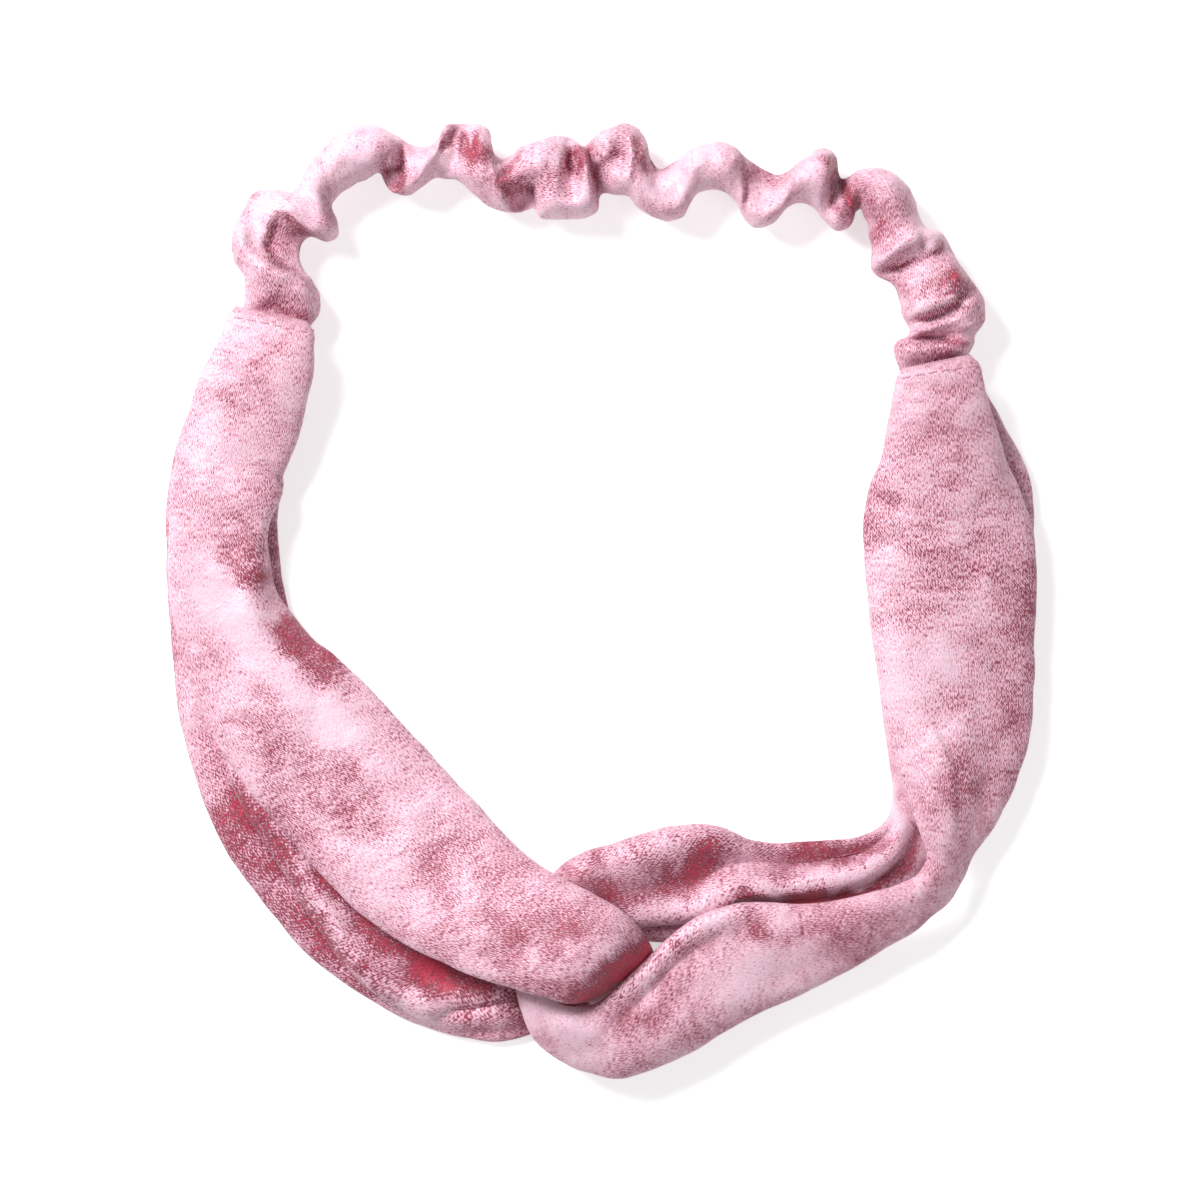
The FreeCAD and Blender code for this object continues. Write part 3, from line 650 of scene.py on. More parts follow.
# spots and bands of painted highlight (above 0) and painted shade (below 0) on the leg beneath
LEFT_UNDER = [
    (2.2, -1.5, [(-69.6, -37.4), (-68, -40.2), (-63.6, -46.4), (-59.6, -52.6), (-55.6, -59),
                 (-51.8, -65.8), (-46.6, -73)]),
    (5.0, -1.2, [(-70, -42), (-66, -53), (-60, -62), (-54, -70), (-46, -77)]),
    (1.6, .8, [(-67.6, -38.4), (-63.4, -44.2), (-58.8, -49.8), (-55, -56.6), (-51.2, -63),
               (-47.4, -69.8), (-41.2, -76.2), (-33.8, -79.4), (-25, -77.8), (-16, -75)]),
    (3.4, -2.6, [(-53.6, -48), (-48.6, -55), (-43.2, -62.4), (-38, -69), (-31, -73.6), (-24, -73.4),
                 (-16, -71)]),
    (1.4, -1.4, [(-27, -79), (-20, -77.4), (-15, -76)]), (-76, -20, 6, .6), (-68, -56, 3, .4),
    (-57, -71, 3, .4), (-8, -78, 8, -2.2), (4, -74, 7, -2.6), (-34, -72, 4, -1),
    (-83, 10, 6, -.6), (-63, 6, 6, -.9), (-60, 0, 5, -.9),
]
LEFT_FOLDS = [
    (205, 345, 0.5, [
        (1.5, 2.6, [(-77.7, -10.4), (-74.9, -17.8), (-71.8, -23.5), (-70.5, -34.7), (-68, -39),
                    (-64.6, -43.8), (-60.2, -48.7), (-56.4, -55.6), (-52.4, -62.2), (-48.6, -69.1),
                    (-41.8, -77), (-34.6, -80.5), (-27.4, -79), (-15.2, -76.1)]),
    ]),
]
left_strip, left_rings = strip_object("left_strip_satin", LEFT_ROWS, LEFT_TURN, LEFT_FOLDS,
                                      LEFT_UPPER, LEFT_UNDER)

# %% [markdown]
# ## The right strip
#
# Its broad face lies open below the right join.  At the bend it gathers into a knuckle, then
# widens again on the way to the knot, turns round the left strip, and goes back along the
# far side with its inner face rolled up to view, down under its own broad face to the join.

# %% Right strip rows
RIGHT_ROWS = [
    row((57.6, 43.0, 11.4), (70.0, 45.5, 11.4), 2.4, crowned(0.1)),
    row((56.4, 41.4, 11.4), (71.5, 44.2, 11.4), 3.0, crowned(0.4)),
    row((55.7, 38.8, 11.3), (72.6, 41.0, 11.3), 3.3, crowned(0.7)),
    row((54.9, 35.6, 10.6), (73.8, 36.6, 10.4), 3.8, crowned(1.2)),
    row((54.0, 30.6, 9.4), (75.6, 30.8, 9.0), 4.2, crowned(1.8)),
    row((53.0, 25.4, 8.4), (77.6, 25.2, 7.6), 4.4,
        shaped((.1, .9), (.35, 2.0), (.62, 2.4), (.82, 1.6), (.93, .4))),
    row((51.2, 20.4, 7.8), (80.0, 19.8, 6.6), 4.4,
        shaped((.1, .9), (.35, 2.0), (.62, 2.6), (.8, 1.8), (.92, .4))),
    row((50.1, 14.0, 7.4), (82.0, 13.6, 6.2), 4.2, crowned(2.2, .2)),
    row((50.0, 6.4, 7.2), (83.0, 6.2, 6.0), 4.2, crowned(2.2, .3)),
    row((50.9, -0.6, 7.2), (83.2, -1.2, 6.0), 4.2, crowned(2.0, .4)),
    row((51.9, -9.0, 7.2), (83.1, -9.6, 6.0), 4.2, crowned(2.0, .5)),
    row((53.2, -18.2, 7.2), (82.8, -19.0, 6.0), 4.2, crowned(2.0, .6)),
    row((54.9, -27.6, 7.6), (81.4, -28.8, 6.0), 4.2,
        shaped((.1, .9), (.3, 2.2), (.5, 2.4), (.7, 1.0), (.9, .2))),
    row((57.1, -35.6, 8.2), (78.6, -37.4, 5.8), 4.0,
        shaped((.1, 1.0), (.3, 2.4), (.5, 2.4), (.7, .6), (.9, .0))),
    row((59.2, -41.2, 8.8), (75.2, -43.8, 5.6), 3.8,
        shaped((.1, 1.0), (.3, 2.4), (.5, 2.2), (.7, .6), (.9, .0))),
    row((61.2, -45.6, 9.2), (71.2, -49.6, 5.6), 3.6,
        shaped((.12, 1.1), (.35, 2.2), (.6, 1.8), (.8, .6), (.95, .0))),
    row((62.4, -49.4, 9.2), (67.6, -54.2, 6.0), 3.4,
        shaped((.15, 1.1), (.4, 1.9), (.7, 1.4), (.9, .6), (1.0, -.8))),
    row((60.9, -53.0, 9.2), (65.4, -58.2, 6.2), 3.4,
        shaped((.15, 1.1), (.4, 1.9), (.7, 1.4), (.9, .6), (1.0, -.6))),
    row((56.6, -55.2, 9.2), (60.8, -63.0, 6.4), 3.6, crowned(1.6, .3)),
    row((50.9, -57.0, 9.2), (54.6, -67.0, 6.4), 3.8, crowned(1.7, .4)),
    row((44.6, -58.4, 9.2), (47.4, -71.2, 6.4), 4.0, crowned(1.6, .5)),
    row((38.0, -58.9, 9.2), (40.4, -75.0, 6.4), 4.2, crowned(1.5, .6)),
    row((32.2, -58.6, 9.4), (34.4, -77.8, 6.4), 4.2, crowned(1.4, .6)),
    row((26.6, -58.6, 9.6), (28.6, -80.4, 6.6), 4.2,
        shaped((.08, 1.1), (.24, .6), (.5, 1.3), (.75, 1.4), (.93, .6))),
    row((21.4, -60.0, 9.8), (23.4, -83.2, 6.8), 4.2,
        shaped((.08, 1.3), (.22, .4), (.45, 1.2), (.75, 1.6), (.93, .7))),
    row((17.0, -62.2, 10.0), (18.6, -86.2, 7.0), 4.2,
        shaped((.08, 1.5), (.22, .2), (.45, 1.1), (.75, 1.7), (.93, .7))),
    row((12.6, -65.8, 10.2), (13.6, -88.6, 7.2), 4.2,
        shaped((.08, 1.6), (.22, .2), (.45, 1.2), (.75, 1.8), (.93, .8))),
    row((8.4, -70.2, 10.4), (8.6, -90.6, 7.4), 4.2,
        shaped((.08, 1.5), (.25, .5), (.48, 1.4), (.75, 1.8), (.93, .8))),
    row((4.2, -74.2, 10.6), (3.4, -91.8, 7.6), 4.2,
        shaped((.08, 1.3), (.28, .9), (.5, 1.6), (.75, 1.8), (.93, .8))),
    row((-0.2, -77.2, 10.6), (-2.2, -91.0, 7.8), 4.0, crowned(1.6, .3)),
    row((-5.2, -78.1, 10.4), (-7.6, -88.7, 8.0), 4.0, crowned(1.4, .3)),
    row((-8.8, -76.8, 10.2), (-11.8, -85.0, 8.2), 3.8, crowned(1.2)),
    row((-10.2, -74.2, 10.0), (-14.4, -79.8, 8.2), 3.8, crowned(1.0)),
    row((-9.8, -70.6, 9.6), (-15.8, -73.4, 8.4), 3.8, crowned(.8)),
    row((-8.6, -66.2, 9.4), (-15.2, -66.2, 8.6), 3.8, crowned(.8)),
    row((-6.2, -62.2, 9.4), (-12.6, -59.0, 8.8), 3.8, crowned(.8)),
    row((-2.4, -60.6, 9.0), (-8.4, -52.8, 9.0), 3.8, crowned(1.0)),
    row((2.4, -62.2, 7.4), (-3.0, -49.4, 9.2), 3.6,
        shaped((.10, -.4), (.20, .6), (.45, 1.2), (.8, 2.0), (.93, 1.0))),
    row((7.6, -65.8, 4.6), (2.6, -47.6, 9.2), 3.4,
        shaped((.12, .2), (.21, -.4), (.27, 2.6), (.55, 1.8), (.84, 2.2))),
    row((13.4, -66.6, 3.4), (8.6, -45.6, 9.2), 3.4,
        shaped((.12, .4), (.23, -.2), (.28, 3.2), (.55, 1.0), (.84, 2.6))),
    row((18.6, -67.2, 3.0), (13.8, -44.2, 8.8), 3.4,
        shaped((.14, .3), (.255, -.2), (.30, 3.6), (.52, .2), (.84, 2.6))),
    row((23.4, -66.4, 2.8), (18.8, -43.6, 8.4), 3.4,
        shaped((.14, .2), (.28, .0), (.34, 3.8), (.58, -.6), (.84, 2.0))),
    row((27.6, -65.0, 2.6), (23.8, -44.4, 7.6), 3.2,
        shaped((.16, .2), (.32, .2), (.42, 3.6), (.66, -.4), (.86, 1.4))),
    row((32.0, -63.6, 2.6), (28.2, -46.4, 6.4), 3.0,
        shaped((.18, .2), (.36, .6), (.47, 3.4), (.72, -.6), (.88, .6))),
    row((37.0, -63.4, 2.6), (32.6, -47.2, 5.8), 2.8,
        shaped((.18, .2), (.37, .6), (.50, 3.4), (.72, -.8), (.92, .2))),
    row((42.4, -63.2, 2.6), (38.0, -47.0, 5.6), 2.8,
        shaped((.18, .2), (.38, .6), (.52, 3.4), (.73, -.9), (.93, .1))),
    row((48.0, -61.6, 2.6), (43.6, -46.6, 5.4), 2.8,
        shaped((.18, .2), (.38, .6), (.52, 3.2), (.74, -.9), (.93, .1))),
    row((53.6, -59.2, 2.6), (49.2, -46.0, 5.0), 2.6,
        shaped((.18, .1), (.40, .6), (.55, 2.8), (.76, -.7), (.93, .1))),
    row((58.6, -56.0, 2.4), (53.2, -44.4, 4.4), 2.6,
        shaped((.18, .1), (.42, .4), (.60, 2.2), (.80, -.2), (.93, .2))),
    row((62.6, -51.0, 2.4), (55.2, -41.4, 3.8), 2.6,
        shaped((.18, .1), (.42, .2), (.64, 1.4), (.82, .9), (.93, .4))),
    row((65.4, -45.0, 2.2), (55.6, -37.4, 3.2), 2.6, crowned(.5)),
    row((68.0, -37.0, 2.1), (55.2, -32.0, 2.6), 2.8, crowned(.3)),
    row((71.0, -27.0, 2.0), (54.4, -24.8, 2.2), 3.0, crowned(.3)),
    row((75.6, -17.4, 2.0), (53.6, -16.0, 2.2), 3.0, crowned(.3)),
    row((79.4, -6.4, 2.0), (52.6, -6.0, 2.2), 3.0, crowned(.3)),
    row((81.6, 4.6, 2.0), (52.0, 4.4, 2.2), 3.0, crowned(.3)),
    row((82.8, 13.6, 2.2), (52.4, 13.0, 2.2), 3.0, crowned(.4)),
    row((82.4, 20.2, 2.6), (53.8, 19.8, 2.2), 3.0, crowned(.5)),
    row((80.6, 26.0, 3.0), (55.2, 26.0, 2.4), 3.0, crowned(.5)),
    row((77.4, 32.0, 3.2), (56.4, 31.6, 2.6), 3.0, crowned(.4)),
    row((74.0, 38.0, 3.4), (57.0, 36.6, 3.2), 2.9, crowned(.2)),
    row((71.0, 44.6, 3.8), (56.8, 41.6, 3.8), 2.8, crowned(0)),
]
RIGHT_TURN = 33
print(f"{len(RIGHT_ROWS)} rows, the turn at row {RIGHT_TURN}")

# %% [markdown]
# ## Painted light and folds of the right strip
#
# Its face carries painted shade towards the outer edge, the loop carries painted highlight where
# it bends over the left strip, and the rolled inner face on the far side has painted shade.

# %% Right strip
# spots of painted highlight (above 0) and painted shade (below 0) on the face and loop
RIGHT_UPPER = [
    (62, 38, 7, .3), (57, 27, 6, .2), (68, 24, 5, -.35), (66, 32, 4, -.3), (57, 16, 4, .1),
    (63, 13, 6, -.35), (55, 3, 6, .5), (57, -12, 8, 1.1), (62, -22, 7, .9), (66, -8, 6, .6),
    (76, 8, 8, -.5), (80, -6, 9, -.6), (76, -20, 7, -.6), (70, -27, 6, -.7), (72, -10, 6, -.2),
    (60, -33, 5, .8), (66, -38, 4, -.5), (76, -35, 6, -.5), (70, -42, 5, -.3), (63, -44, 4, .4),
    (63, -52, 4, -.4), (29.5, -62.6, 2.8, -2.0), (49, -65, 5, -.9), (42, -66, 4, -.6), (54, -60, 4, .3),
    (28, -71, 6, 1.0), (36, -74, 4, .6), (20, -78, 5, .5), (-1, -86, 6, .8), (-8, -82, 5, .8),
    (14, -82, 5, -.7), (6, -80, 5, -.7), (22, -82, 3, -.5), (2, -88, 4, -.6), (19, -67, 3, -.9),
    (13, -72, 3, -.8), (36, -61, 4, .5), (8, -74, 3, .3), (-10, -76, 4, .6),
]
# spots and bands of painted highlight and painted shade on the rolled far side
RIGHT_UNDER = [
    (-3, -54, 6, -1.1), (4, -55, 5, -1.6), (11, -56, 4, -1.2), (7, -50, 4, .4), (17.6, -53, 4.8, -2.6),
    (22, -50, 3, -1.8), (14, -47, 4, .7), (20, -57, 3, .7), (25.6, -52, 3, .9), (14, -60, 3, .6),
    (11, -64, 3, -.5), (33, -50, 4, -.6), (2.6, -1.9, [(38, -49.8), (46, -49.6), (53.6, -47)]),
    (1.8, 1.3, [(30, -55.4), (38, -54.6), (46, -54.4), (53, -51.4), (57, -46), (57.4, -36)]),
    (1.9, -2.4, [(27, -58.8), (36, -58.8), (44, -58.4), (51, -56.6), (57, -52), (60.6, -46.6),
                 (62, -38)]),
    (80, 24, 8, -.4),
]
RIGHT_FOLDS = [
    (40, 125, 5.0, [
        (0.45, 2.4, [(67.1, -48.6), (67.6, -40.4), (67.1, -32.8), (62.1, -22.2)]),
    ]),
]
right_strip, right_rings = strip_object("right_strip_satin", RIGHT_ROWS, RIGHT_TURN, RIGHT_FOLDS,
                                        RIGHT_UPPER, RIGHT_UNDER)

# %% [markdown]
# ## The gathered casing
#
# A long tube of satin is pushed up on a short elastic, so it crumples into lobes and necks
# that lean over each other.  Each ring gives its outer and inner point seen from above and
# three heights over its back, so a hollow beside a lobe is only a low number beside a high
# one.  Closely set rings with unequal heights are what make the cloth look pinched.

# %% Casing rings
CASING_AXIS = 7.6
CASING_AROUND = 72
CASING_SPACING = 0.5
BACK_SHARES = (0.0, 0.15, 0.5, 0.85, 1.0, 0.85, 0.5, 0.15)
CORNER_DROP = 0.72


def ring(outer, inner, near_outer, top, near_inner, below=5.6):
    """Eight points round the casing: over the top from outer to inner, back underneath."""
    a, b = np.array([*outer, CASING_AXIS]), np.array([*inner, CASING_AXIS])
    points = a + (b - a) * np.array(BACK_SHARES)[:, None]
    corner = -below * CORNER_DROP
    points[:, 2] += (0, near_outer, top, near_inner, 0, corner, -below, corner)
    return points


CASING_RINGS = [
    ring((-70.2, 46.0), (-56.6, 42.8), 1.7, 1.9, 1.7, 1.9),
    ring((-69.2, 50.6), (-55.6, 47.4), 1.7, 1.9, 1.7, 1.9),
    ring((-68.4, 54.4), (-54.6, 51.2), 1.8, 2.0, 1.8, 2.0),
    ring((-67.7, 56.4), (-53.4, 53.4), 3.2, 3.6, 3.2, 3.6),
    ring((-67.8, 58.6), (-53.2, 56.6), 4.8, 5.6, 4.8, 5.2),
    ring((-68.6, 61.4), (-54.6, 60.2), 5.2, 6.4, 5.0),
    ring((-69.9, 64.0), (-56.0, 61.4), 5.4, 5.8, 2.2),
    ring((-70.0, 67.4), (-57.0, 63.4), 5.6, 3.6, 1.6),
    ring((-69.2, 70.8), (-57.0, 66.0), 4.2, 3.0, 1.8),
    ring((-67.8, 73.8), (-55.4, 67.6), 2.4, 5.0, 3.0),
    ring((-66.0, 76.6), (-53.8, 67.6), 3.4, 6.4, 4.6),
    ring((-62.0, 77.0), (-51.6, 67.0), 5.2, 6.2, 5.0),
    ring((-58.6, 76.8), (-49.6, 68.4), 4.8, 5.6, 4.6),
    ring((-57.0, 79.0), (-49.8, 71.2), 4.6, 5.4, 3.0),
    ring((-55.6, 81.6), (-51.0, 73.2), 4.8, 5.8, 2.4),
    ring((-52.8, 85.2), (-50.4, 75.2), 5.2, 6.4, 4.2),
    ring((-49.2, 88.2), (-47.6, 77.4), 5.6, 6.8, 5.0),
    ring((-44.7, 89.4), (-44.4, 78.9), 5.6, 6.9, 5.0),
    ring((-41.0, 88.8), (-42.2, 80.0), 5.6, 6.8, 4.6),
    ring((-38.2, 87.2), (-41.2, 78.6), 5.0, 5.4, .6),
    ring((-36.4, 86.2), (-39.6, 76.2), 3.0, 2.6, .4),
    ring((-34.4, 85.4), (-36.4, 75.8), 3.0, 4.4, 3.6),
    ring((-32.6, 85.4), (-34.2, 77.4), 4.0, 5.4, 4.6),
    ring((-30.8, 86.6), (-31.8, 78.8), 3.8, 5.0, 3.2),
    ring((-29.2, 89.4), (-29.8, 79.0), 4.8, 3.8, 2.4),
    ring((-27.2, 89.8), (-28.0, 79.0), 1.2, 2.2, 2.6),
    ring((-24.8, 89.7), (-25.8, 77.6), 1.4, 4.6, 4.2),
    ring((-22.6, 89.6), (-23.4, 75.4), 5.0, 6.6, 5.0),
    ring((-20.9, 88.0), (-20.6, 73.6), 5.0, 6.4, 5.0),
    ring((-20.0, 84.4), (-17.6, 72.6), 3.0, 6.0, 4.8),
    ring((-18.4, 82.8), (-15.4, 72.6), 3.2, 5.6, -.8),
    ring((-15.4, 85.0), (-13.4, 73.4), 4.6, 4.6, -1.4),
    ring((-11.6, 86.6), (-12.6, 73.4), 5.2, 6.4, -.6),
    ring((-9.0, 87.4), (-11.6, 71.6), 5.2, 6.4, 4.0),
    ring((-7.0, 87.5), (-8.4, 71.2), 4.0, 6.0, 5.4),
    ring((-5.6, 87.0), (-5.2, 71.3), 2.0, 2.6, 5.6),
    ring((-4.2, 86.0), (-2.2, 71.5), 4.6, 6.2, 5.2),
    ring((-3.2, 85.4), (-.4, 72.6), 4.8, 5.8, 4.0),
    ring((-2.6, 85.6), (-.1, 75.0), 1.4, 1.8, 1.0),
    ring((-1.2, 87.4), (.6, 75.9), 3.8, 4.0, 1.6),
    ring((1.4, 89.0), (1.8, 75.9), 5.6, 5.2, 3.0),
    ring((4.2, 89.7), (3.4, 75.8), 5.2, 4.2, 4.6),
    ring((6.6, 89.2), (5.4, 75.6), 5.2, 6.8, 5.0),
    ring((8.6, 86.8), (7.2, 73.6), 4.4, 6.4, 4.8),
    ring((9.8, 83.2), (9.8, 71.8), 1.0, 5.2, 4.8),
    ring((11.4, 80.9), (12.8, 70.9), 2.8, 4.8, 5.0),
    ring((13.6, 82.0), (15.8, 71.8), 3.6, 5.0, 4.8),
    ring((16.2, 84.2), (17.4, 74.6), 4.4, 5.8, 4.0),
    ring((19.4, 85.8), (19.0, 76.6), 4.8, 6.4, 4.2),
    ring((22.6, 86.2), (21.6, 76.9), 5.0, 6.8, 4.8),
    ring((25.6, 85.4), (24.0, 76.4), 5.0, 6.6, 4.6),
    ring((27.4, 83.4), (25.8, 74.6), 3.8, 4.6, 3.4),
    ring((30.0, 81.4), (27.2, 71.8), 1.2, 3.6, 4.0),
    ring((33.4, 80.0), (29.6, 69.6), 1.4, 4.4, 4.8),
    ring((36.0, 81.0), (32.8, 70.4), 3.4, 5.4, 4.8),
    ring((39.2, 83.4), (35.6, 73.2), 4.8, 6.4, 4.6),
    ring((42.4, 85.0), (38.4, 74.6), 5.2, 7.0, 5.0),
    ring((44.4, 84.2), (40.6, 73.6), 4.8, 6.6, 4.6),
    ring((45.4, 81.4), (42.6, 71.0), .8, 2.4, 2.0),
    ring((46.0, 79.2), (45.2, 69.0), 1.0, 3.8, 3.8),
    ring((47.2, 79.4), (47.4, 69.8), 2.6, 3.4, 2.6),
    ring((49.2, 80.8), (48.6, 72.4), 3.6, 4.0, 1.0),
    ring((53.0, 81.4), (49.2, 73.4), 5.0, 6.2, 3.2),
    ring((57.2, 79.6), (50.4, 71.4), 5.4, 6.8, 4.4),
    ring((59.8, 75.6), (51.2, 68.4), 5.2, 6.2, 2.8),
    ring((60.8, 71.6), (51.6, 64.8), 4.8, 5.6, 3.8),
    ring((62.6, 69.6), (51.6, 61.9), 5.2, 6.8, 5.4),
    ring((65.4, 68.8), (53.4, 60.2), 4.8, 3.2, 2.6),
    ring((66.8, 66.0), (55.6, 58.6), 3.2, 4.6, 4.0),
    ring((68.4, 63.2), (56.8, 56.0), 4.8, 6.0, 4.8),
    ring((70.4, 60.4), (57.2, 53.8), 5.4, 6.2, 5.2),
    ring((72.2, 58.0), (57.7, 52.2), 3.6, 6.4, 5.2),
    ring((73.4, 55.6), (58.6, 50.9), 5.0, 3.6, 2.2),
    ring((73.6, 53.2), (59.0, 50.0), 3.4, 5.4, 4.4),
    ring((72.9, 51.0), (58.2, 49.0), 4.4, 3.2, 4.2),
    ring((71.6, 49.2), (56.4, 48.2), 2.0, 1.6, 2.0, 4.8),
    ring((71.6, 47.9), (55.8, 46.6), 4.4, 5.0, 4.4, 4.2),
    ring((71.0, 46.8), (56.2, 44.8), 4.0, 4.6, 4.2, 3.6),
    ring((70.2, 45.8), (56.8, 42.8), 2.0, 2.2, 2.0, 2.2),
    ring((69.6, 42.4), (57.2, 39.4), 1.7, 1.9, 1.7, 1.9),
    ring((68.4, 37.6), (57.0, 35.0), 1.7, 1.9, 1.7, 1.9),
]

print(f"{len(CASING_RINGS)} rings by hand")

# %% [markdown]
# ## Skin of the casing
#
# Eight points become a round section by a curve that wraps round and meets itself, and the
# sections become a tube the way a strip's rows did.

# %% Casing skin
def casing_skin():
    """Evenly spaced rings of the casing, and how far along its lobes each one is."""
    fine = np.arange(CASING_AROUND) / CASING_AROUND
    closed = []
    for points in CASING_RINGS:
        wrapped = np.vstack([points[-2:], points, points[:3]])
        places = np.arange(-2, 11) / 8
        closed.append(through(wrapped, places, fine))
    rings, distance, _, _ = rows_along(closed, CASING_SPACING)
    return rings, distance


casing_rings, casing_distance = casing_skin()
print(f"casing: {len(casing_rings)} rings, {casing_distance[-1]:.0f} mm along its lobes")

# %% [markdown]
# ## Creases of the casing
#
# Between two lobes the cloth doubles over itself.  Each line here has its lip on the left hand,
# and the whole skin is crumpled and eased first, so that no sharp tip stands up through a lip.

# %% Casing folds
CASING_FLOOR = 6.8
CASING_SEED, CASING_EASINGS = 3.0, 2
CASING_FOLDS = [
    (1.3, 2.2, [(-57.4, 60.9), (-61.7, 62.8), (-63.6, 66), (-61, 73.1)]),
    (1.2, 2.0, [(-60.2, 72.9), (-55.5, 68.7), (-52.1, 67.4)]),
    (0.7, 1.6, [(-50.7, 69.6), (-51.9, 72.9), (-52.1, 78.2)]),
    (1.4, 1.8, [(-37.2, 86.4), (-37.1, 82.6), (-37.2, 79.1), (-38.2, 76.7)]),
    (1.5, 1.8, [(-41.6, 80.3), (-37.8, 81.2)]),
    (1.3, 1.4, [(-26.8, 89.2), (-27.9, 85.4), (-30, 83.7)]),
    (0.8, 1.4, [(-30.4, 83.9), (-30, 88.3)]),
    (0.9, 1.2, [(-26.6, 82.6), (-25.6, 88.6)]),
    (1.1, 1.6, [(-22.9, 88.3), (-24.2, 82.6)]),
    (0.9, 2.0, [(-20.5, 77.7), (-17.7, 81), (-13.9, 85.4)]),
    (1.5, 1.8, [(-20.1, 77.7), (-16.2, 77.2), (-12.2, 77.7)]),
    (1.3, 1.8, [(-12.2, 77.2), (-13.6, 74.8), (-13.3, 72.9)]),
    (1.2, 1.4, [(-5.7, 79.1), (-6.5, 82.6), (-4.9, 85.8)]),
    (1.2, 1.2, [(-2.3, 85.8), (-2.9, 82.6), (-4, 78.7)]),
    (1.0, 1.8, [(-.4, 71.9), (-.9, 78.2), (-2.3, 83.5), (-1.6, 86.8)]),
    (0.8, 1.6, [(-1.3, 80.6), (1.5, 82.9), (3.8, 84.8)]),
    (0.9, 1.8, [(5.7, 76.7), (6.3, 82.7), (6.5, 88.1)]),
    (1.0, 1.4, [(7.8, 87.9), (7.6, 83.8), (8.8, 80.7), (10.1, 80.5)]),
    (1.3, 2.0, [(26.8, 72.5), (27.5, 76.1), (27, 80.3), (26.4, 84.3)]),
    (0.8, 1.6, [(27, 85.4), (30.6, 82.7), (35.2, 80.3)]),
    (1.4, 1.8, [(43.6, 72.5), (43.9, 78.2), (43.6, 83.9)]),
    (1.0, 1.6, [(45.6, 80.2), (47.1, 76.1), (47.9, 73.6)]),
    (1.3, 2.0, [(51.5, 62.3), (56.1, 62.3), (60.8, 63.9), (63.8, 65.4), (66.1, 68.5)]),
    (0.8, 1.6, [(60.8, 64.3), (60.4, 69)]),
    (1.2, 1.8, [(58.1, 52.2), (63.3, 53.1), (67.5, 55.2), (69, 58.8), (70.5, 60.3)]),
    (1.0, 1.4, [(68.4, 60.8), (65.9, 59.8), (64.3, 57.3)]),
    (1.1, 1.4, [(58.7, 51.1), (61.2, 49.6), (71, 47.5)]),
]
casing_rings = crumple(casing_rings, CASING_SEED, CASING_DENTS, CASING_CREASES)
casing_rings = eased(casing_rings, CASING_EASINGS)
casing_rings = folded(casing_rings, CASING_FOLDS, CASING_FLOOR)
print(f"{len(CASING_FOLDS)} creases across the casing")

# %% [markdown]
# ## Painted light of the casing
#
# The lobes' backs carry painted highlight.  The necks between them carry painted shade, because
# little light reaches into a neck.

# %% Casing spots
# spots of painted highlight on the lobes and painted shade in the necks
CASING_SPOTS = [
    (0, 70, 120, .5), (-27.5, 86.2, 2.6, -2.2), (-23.8, 84, 2.2, -1.5), (31, 81.4, 3.0, -1.8),
    (45.2, 80.6, 2.2, -2.0), (9.4, 83.4, 2.6, -1.9), (-17, 76, 3.2, -2.0), (-39.8, 77.8, 2.6, -2.0),
    (-4.8, 82.6, 2, -1.9), (-67.6, 76, 2.6, -1.4), (-60.4, 66, 3, -1.1), (-59, 69, 2.6, -.9),
    (47.4, 73.4, 3, -1.3), (53, 76, 3, -.6), (53.6, 68.4, 3, -1.2), (-62, 54.6, 2.6, -1.6),
    (-57, 53, 2.6, -1.6), (64, 46.6, 4.4, -1.6), (66.4, 59.6, 2.4, -1.6), (-46, 85, 5, .6),
    (22, 82, 4, .6), (40, 80, 4, .5), (-66, 66, 4, .4),
    (-56, 74, 3, .4), (-8, 84, 3, .4), (14, 77, 3, .4), (62, 66, 4, .4), (-41, 83, 3, -.6),
    (-20, 84.6, 2.4, -.9), (-12, 80, 3, -.5), (-63, 59.4, 3, -.7), (57, 58, 3, -.7), (71, 52, 3, -.7),
]
print(f"{len(CASING_SPOTS)} spots on the casing")

# %% [markdown]
# ## One length of a tube
#
# Each end is closed by a fan of faces round its middle.  The rims are marked sharp, or smooth
# shading would run over them and darken the last ring of cloth.

# %% Length of tube
def tube_piece(name, rings, distance, first, last, girth, spots):
    """One length of a tube, closed by a fan of faces at each end, with sharp rims."""
    part, part_distance = rings[first:last + 1], distance[first:last + 1]
    count, around, _ = part.shape
    faces = ring_faces(count, around)
    centres = np.array([part[0].mean(axis=0), part[-1].mean(axis=0)])
    points = np.vstack([part.reshape(-1, 3), centres])
    start, end = count * around, count * around + 1
    for step in range(around):
        after = (step + 1) % around
        faces.append((start, after, step))
        faces.append((end, (count - 1) * around + step, (count - 1) * around + after))
    lengthwise = np.append(np.repeat(part_distance, around), (part_distance[0], part_distance[-1]))
    share = np.append(np.tile(np.arange(around) / around, count), (0, 0))
    # painted highlight and shade from the spots
    tones = painted_light_and_shade(points, spots)
    if spots:
        # painted shade along the casing's creases, added to the spots and kept above the darkest value
        tones = np.maximum(tones + crease_painted_shade(points, CASING_FOLDS, CASING_FLOOR), DARKEST_PAINTED_SHADE)
    made = skin_object(name, points, faces, lengthwise, share, girth, tones)
    sharp = made.data.attributes.new("sharp_edge", "BOOLEAN", "EDGE")
    rims = [set(range(around)), set(range((count - 1) * around, count * around))]
    for edge in made.data.edges:
        sharp.data[edge.index].value = any(set(edge.vertices) <= rim for rim in rims)
    return made


print(f"a cap is a fan of {CASING_AROUND} faces")

# %% [markdown]
# ## Four lengths of one casing
#
# The real casing is one tube.  When the elastic stretches and the loops swing open, each part
# of it moves its own way, so the tube is cut into four lengths that share their end rings
# exactly.  A cap closes each end inside the tube, where it can't be seen.

